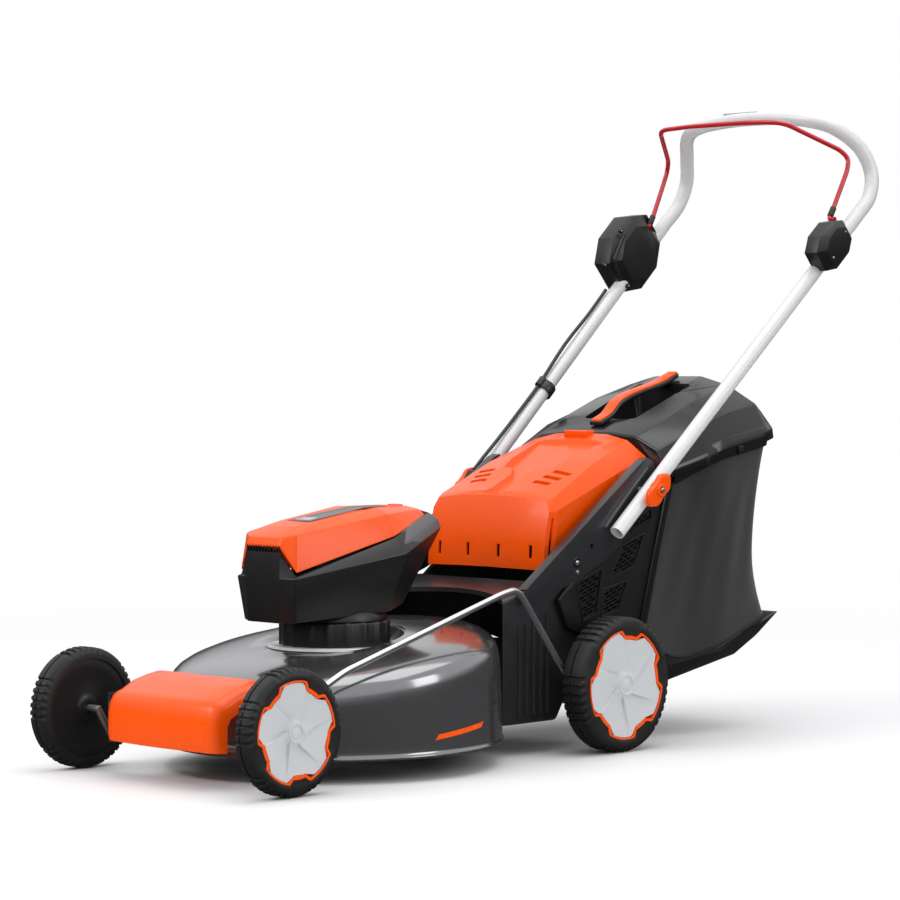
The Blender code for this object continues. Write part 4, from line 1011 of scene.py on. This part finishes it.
def mirrored(half):
    """A half path, carried on through x = 0 to its mirror image."""
    return list(half) + [Vector((-p[0], p[1], p[2])) for p in reversed(half[:-1])]


def handle():
    bend = [HANDLE_HIGH, (0.2115, 1.011, 0.886), (0.2045, 1.026, 0.928), (0.191, 1.011, 0.971),
            (0.162, 0.978, 1.004), (0.12, 0.957, 1.0185), (0.06, 0.951, 1.0253), (0.0, 0.95, 1.0272)]
    whole = mirrored(bend)
    path = [HANDLE_LOW, *curve_points(whole, 10), Vector((-HANDLE_LOW.x, HANDLE_LOW.y, HANDLE_LOW.z))]
    piece("handle_pipe", tube(path, 0.012, 14, wall=0.0015), "white_tube", "handle_tube", sharp=50)
    strip = box((-0.055, 0.9445, 1.0372), (0.02, 0.9535, 1.0393))
    detail("handle_inlay", bevelled(strip, 0.0005, 2), "badge_light", "handle_tube")


def bail():
    half = [(0.212, 0.915, 0.845), (0.1992, 0.915, 0.845), (0.1992, 0.928, 0.866), (0.202, 0.962, 0.93),
            (0.2, 0.968, 0.95), (0.19, 0.958, 0.964), (0.139, 0.876, 1.006), (0.12, 0.862, 1.01),
            (0.06, 0.858, 1.012), (0.0, 0.857, 1.012)]
    path = rounded_path(mirrored([Vector(p) for p in half]), 0.014, 7)
    piece("bail_wire", tube(path, 0.004, 12), "red_wire", "bail_lever", sharp=50)
    for hand, word in HANDS:
        collar = rod((hand * 0.1992, 0.918, 0.85), (hand * 0.1994, 0.9275, 0.8655), 0.0054, 28, 0.0052)
        detail("bail_collar_" + word, bevelled(collar, 0.0009, 3), "black_plastic", "bail_lever")


def box_details():
    """The screws in both control boxes, and the ridge on the inner side of the switch box."""
    for number, (y, z) in enumerate(((0.8313, 0.8354), (0.7882, 0.7743), (0.8509, 0.7392), (0.908, 0.803))):
        x = -0.1905 if number < 3 else -0.198
        seat = rod((x - 0.004, y, z), (x + 0.0006, y, z), 0.0042, 24)
        detail(f"switch_screw_seat_{number + 1}", bevelled(seat, 0.0003, 2), "black_gloss", "switch_box")
        head = rod((x - 0.004, y, z), (x + 0.0014, y, z), 0.0024, 20, 0.0016)
        detail(f"switch_screw_{number + 1}", bevelled(head, 0.0004, 2), "zinc_steel", "switch_box")
    path = curve_points([(-0.1925, 0.842, 0.832), (-0.1915, 0.822, 0.8), (-0.1915, 0.815, 0.78),
                         (-0.1925, 0.832, 0.75)], 8)
    detail("switch_ridge", tube(path, 0.0032, 6), "black_plastic", "switch_box")
    for number, (y, z) in enumerate(((0.9, 0.822), (0.868, 0.778))):
        head = rod((0.244, y, z), (0.2462, y, z), 0.0028, 20, 0.0022)
        detail(f"pivot_screw_{number + 1}", bevelled(head, 0.0004, 2), "zinc_steel", "pivot_box")


def wing_knob(side, word):
    node = "wing_knob_" + word
    y, z = FOLD_AXIS
    x = side * 0.2022
    rows = []
    levels = ((0.0035, 0.9), (0.005, 0.99), (0.0085, 1.0), (0.0115, 0.98), (0.0135, 0.9), (0.0142, 0.78))
    for lift, grow in levels:
        row = []
        for angle in round_angles(96):
            lobe = abs(math.cos(angle)) ** 2.6
            reach = (0.0145 + 0.0185 * lobe + 0.0012 * math.cos(8 * angle) * lobe) * grow
            along, across = reach * math.cos(angle), reach * math.sin(angle)
            row.append((x + side * lift, y + along * math.cos(KNOB_TURN) - across * math.sin(KNOB_TURN),
                        z + along * math.sin(KNOB_TURN) + across * math.cos(KNOB_TURN)))
        rows.append(row)
    body = loft(rows)
    hub = rod((x, y, z), (x + side * 0.0172, y, z), 0.0128, 40, 0.0098)
    body = combined(body, [bevelled(hub, 0.0012, 3)], "UNION")
    bore = rod((x + side * 0.012, y, z), (x + side * 0.03, y, z), 0.0052, 24)
    piece("knob_body_" + word, combined(body, [bore]), "orange_plastic", node, sharp=35)
    end = rod((x + side * 0.008, y, z), (x + side * 0.02, y, z), 0.004, 24)
    detail("knob_bolt_" + word, bevelled(end, 0.0008, 3), "zinc_steel", node)


# The tie rod's two ends, on the front and the rear axle's arms
FRONT_PIN, REAR_PIN = (-0.303, 0.122), (0.392, 0.137)


def tie_rod():
    path = [(0.179, *FRONT_PIN), (0.1995, *FRONT_PIN), (0.1995, -0.215, 0.162), (0.1995, 0.11, 0.2545),
            (0.1995, 0.139, 0.26), (0.1995, 0.155, 0.25), (0.19, 0.252, 0.138), (0.187, 0.272, 0.122),
            (0.187, 0.33, 0.13), (0.187, *REAR_PIN), (0.167, *REAR_PIN)]
    bar = tube(rounded_path(path, 0.012, 6), 0.0056, 1)
    piece("tie_rod_bar", bevelled(bar, 0.0012, 3, 30), "zinc_steel", "tie_rod", sharp=30)


deck()
chute()
front_cover()
motor_base()
housing()
battery_lid()
for hand, hand_word in HANDS:
    bracket(hand, hand_word)
    grille(hand, hand_word)
    wing_knob(hand, hand_word)
flap()
bag()
collector_rim()
collector_lid()
collector_handle()
handle()
bail()
box_details()
tie_rod()

# What has no piece of its own is shown as its CAD shape, with rounded edges
STANDING_FOR = {n for o in bpy.data.objects for n in o.get("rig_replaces", [])}
for node_name in sorted(set(frame["nodes"]) - STANDING_FOR):
    refined(node_name)


# The stage

FLOOR_RADIUS = 3.2
LENS = 120.15
CAMERA_PLACE, CAMERA_TARGET = (3.2775, -3.462, 0.5895), (0.1022, -0.201, 0.47)


def stage():
    """A pale round floor that fades out towards its rim."""
    floor_mesh = bpy.data.meshes.new("floor")
    bm = bmesh.new()
    bmesh.ops.create_circle(bm, cap_ends=True, segments=96, radius=FLOOR_RADIUS)
    bm.to_mesh(floor_mesh)
    bm.free()
    floor = bpy.data.objects.new("floor", floor_mesh)
    floor.location.z = -0.0005
    SCENE.collection.objects.link(floor)
    paint, tree, shader = blank("floor_paint")
    fill(tree, shader, {"Base Color": (0.88, 0.88, 0.88, 1), "Roughness": 0.6})
    length = new_node(tree, "VectorMath", {0: place_in(tree)}, operation="LENGTH").outputs["Value"]
    fade = ranged(tree, length, 0.0, 1.0, (1.0, 3.0))
    clear = new_node(tree, "BsdfTransparent").outputs["BSDF"]
    surface = mixed(tree, fade, shader.outputs["BSDF"], clear)
    fill(tree, tree.nodes["Material Output"], {"Surface": surface})
    floor.data.materials.append(paint)
    floor.visible_glossy = False


def sky():
    """White to the camera. The light is bright overhead and dim at the horizon."""
    world = bpy.data.worlds.new("studio")
    SCENE.world = world
    world.use_nodes = True
    tree = world.node_tree
    up = new_node(tree, "SeparateXYZ", {"Vector": place_in(tree, "Generated")}).outputs["Z"]
    light = tinted(tree, ranged(tree, up, 0.0, 1.0, (0.13, 0.32)), (0.06, 0.06, 0.065), (0.92, 0.92, 0.94))
    unseen = tree.nodes["Background"]
    fill(tree, unseen, {"Color": light})
    seen = new_node(tree, "Background", {"Color": (1, 1, 1, 1)}).outputs["Background"]
    straight = new_node(tree, "LightPath").outputs["Is Camera Ray"]
    surface = mixed(tree, straight, unseen.outputs["Background"], seen)
    fill(tree, tree.nodes["World Output"], {"Surface": surface})


def facing(place, target):
    return (Vector(target) - Vector(place)).to_track_quat("-Z", "Y").to_euler()


def softbox(name, place, target, size, power):
    light = bpy.data.lights.new(name, "AREA")
    light.shape = "RECTANGLE"
    light.size, light.size_y = size
    light.energy = power
    lamp = bpy.data.objects.new(name, light)
    lamp.location = place
    lamp.rotation_euler = facing(place, target)
    SCENE.collection.objects.link(lamp)


def camera():
    data = bpy.data.cameras.new("camera")
    data.lens = LENS
    data.sensor_width = 36
    data.clip_end = 50
    view = bpy.data.objects.new("camera", data)
    view.location = CAMERA_PLACE
    view.rotation_euler = facing(CAMERA_PLACE, CAMERA_TARGET)
    SCENE.collection.objects.link(view)
    SCENE.camera = view


stage()
sky()
softbox("key_light", (-1.2, -3.8, 2.8), (0, -0.2, 0.4), (2.2, 1.8), 58)
softbox("top_light", (0.3, 0.2, 3.4), (0, 0, 0.3), (2.8, 2.8), 40)
softbox("side_light", (4.2, 1.2, 2.2), (0, 0.2, 0.5), (1.6, 2.0), 30)
camera()
SCENE.view_settings.view_transform = "Standard"
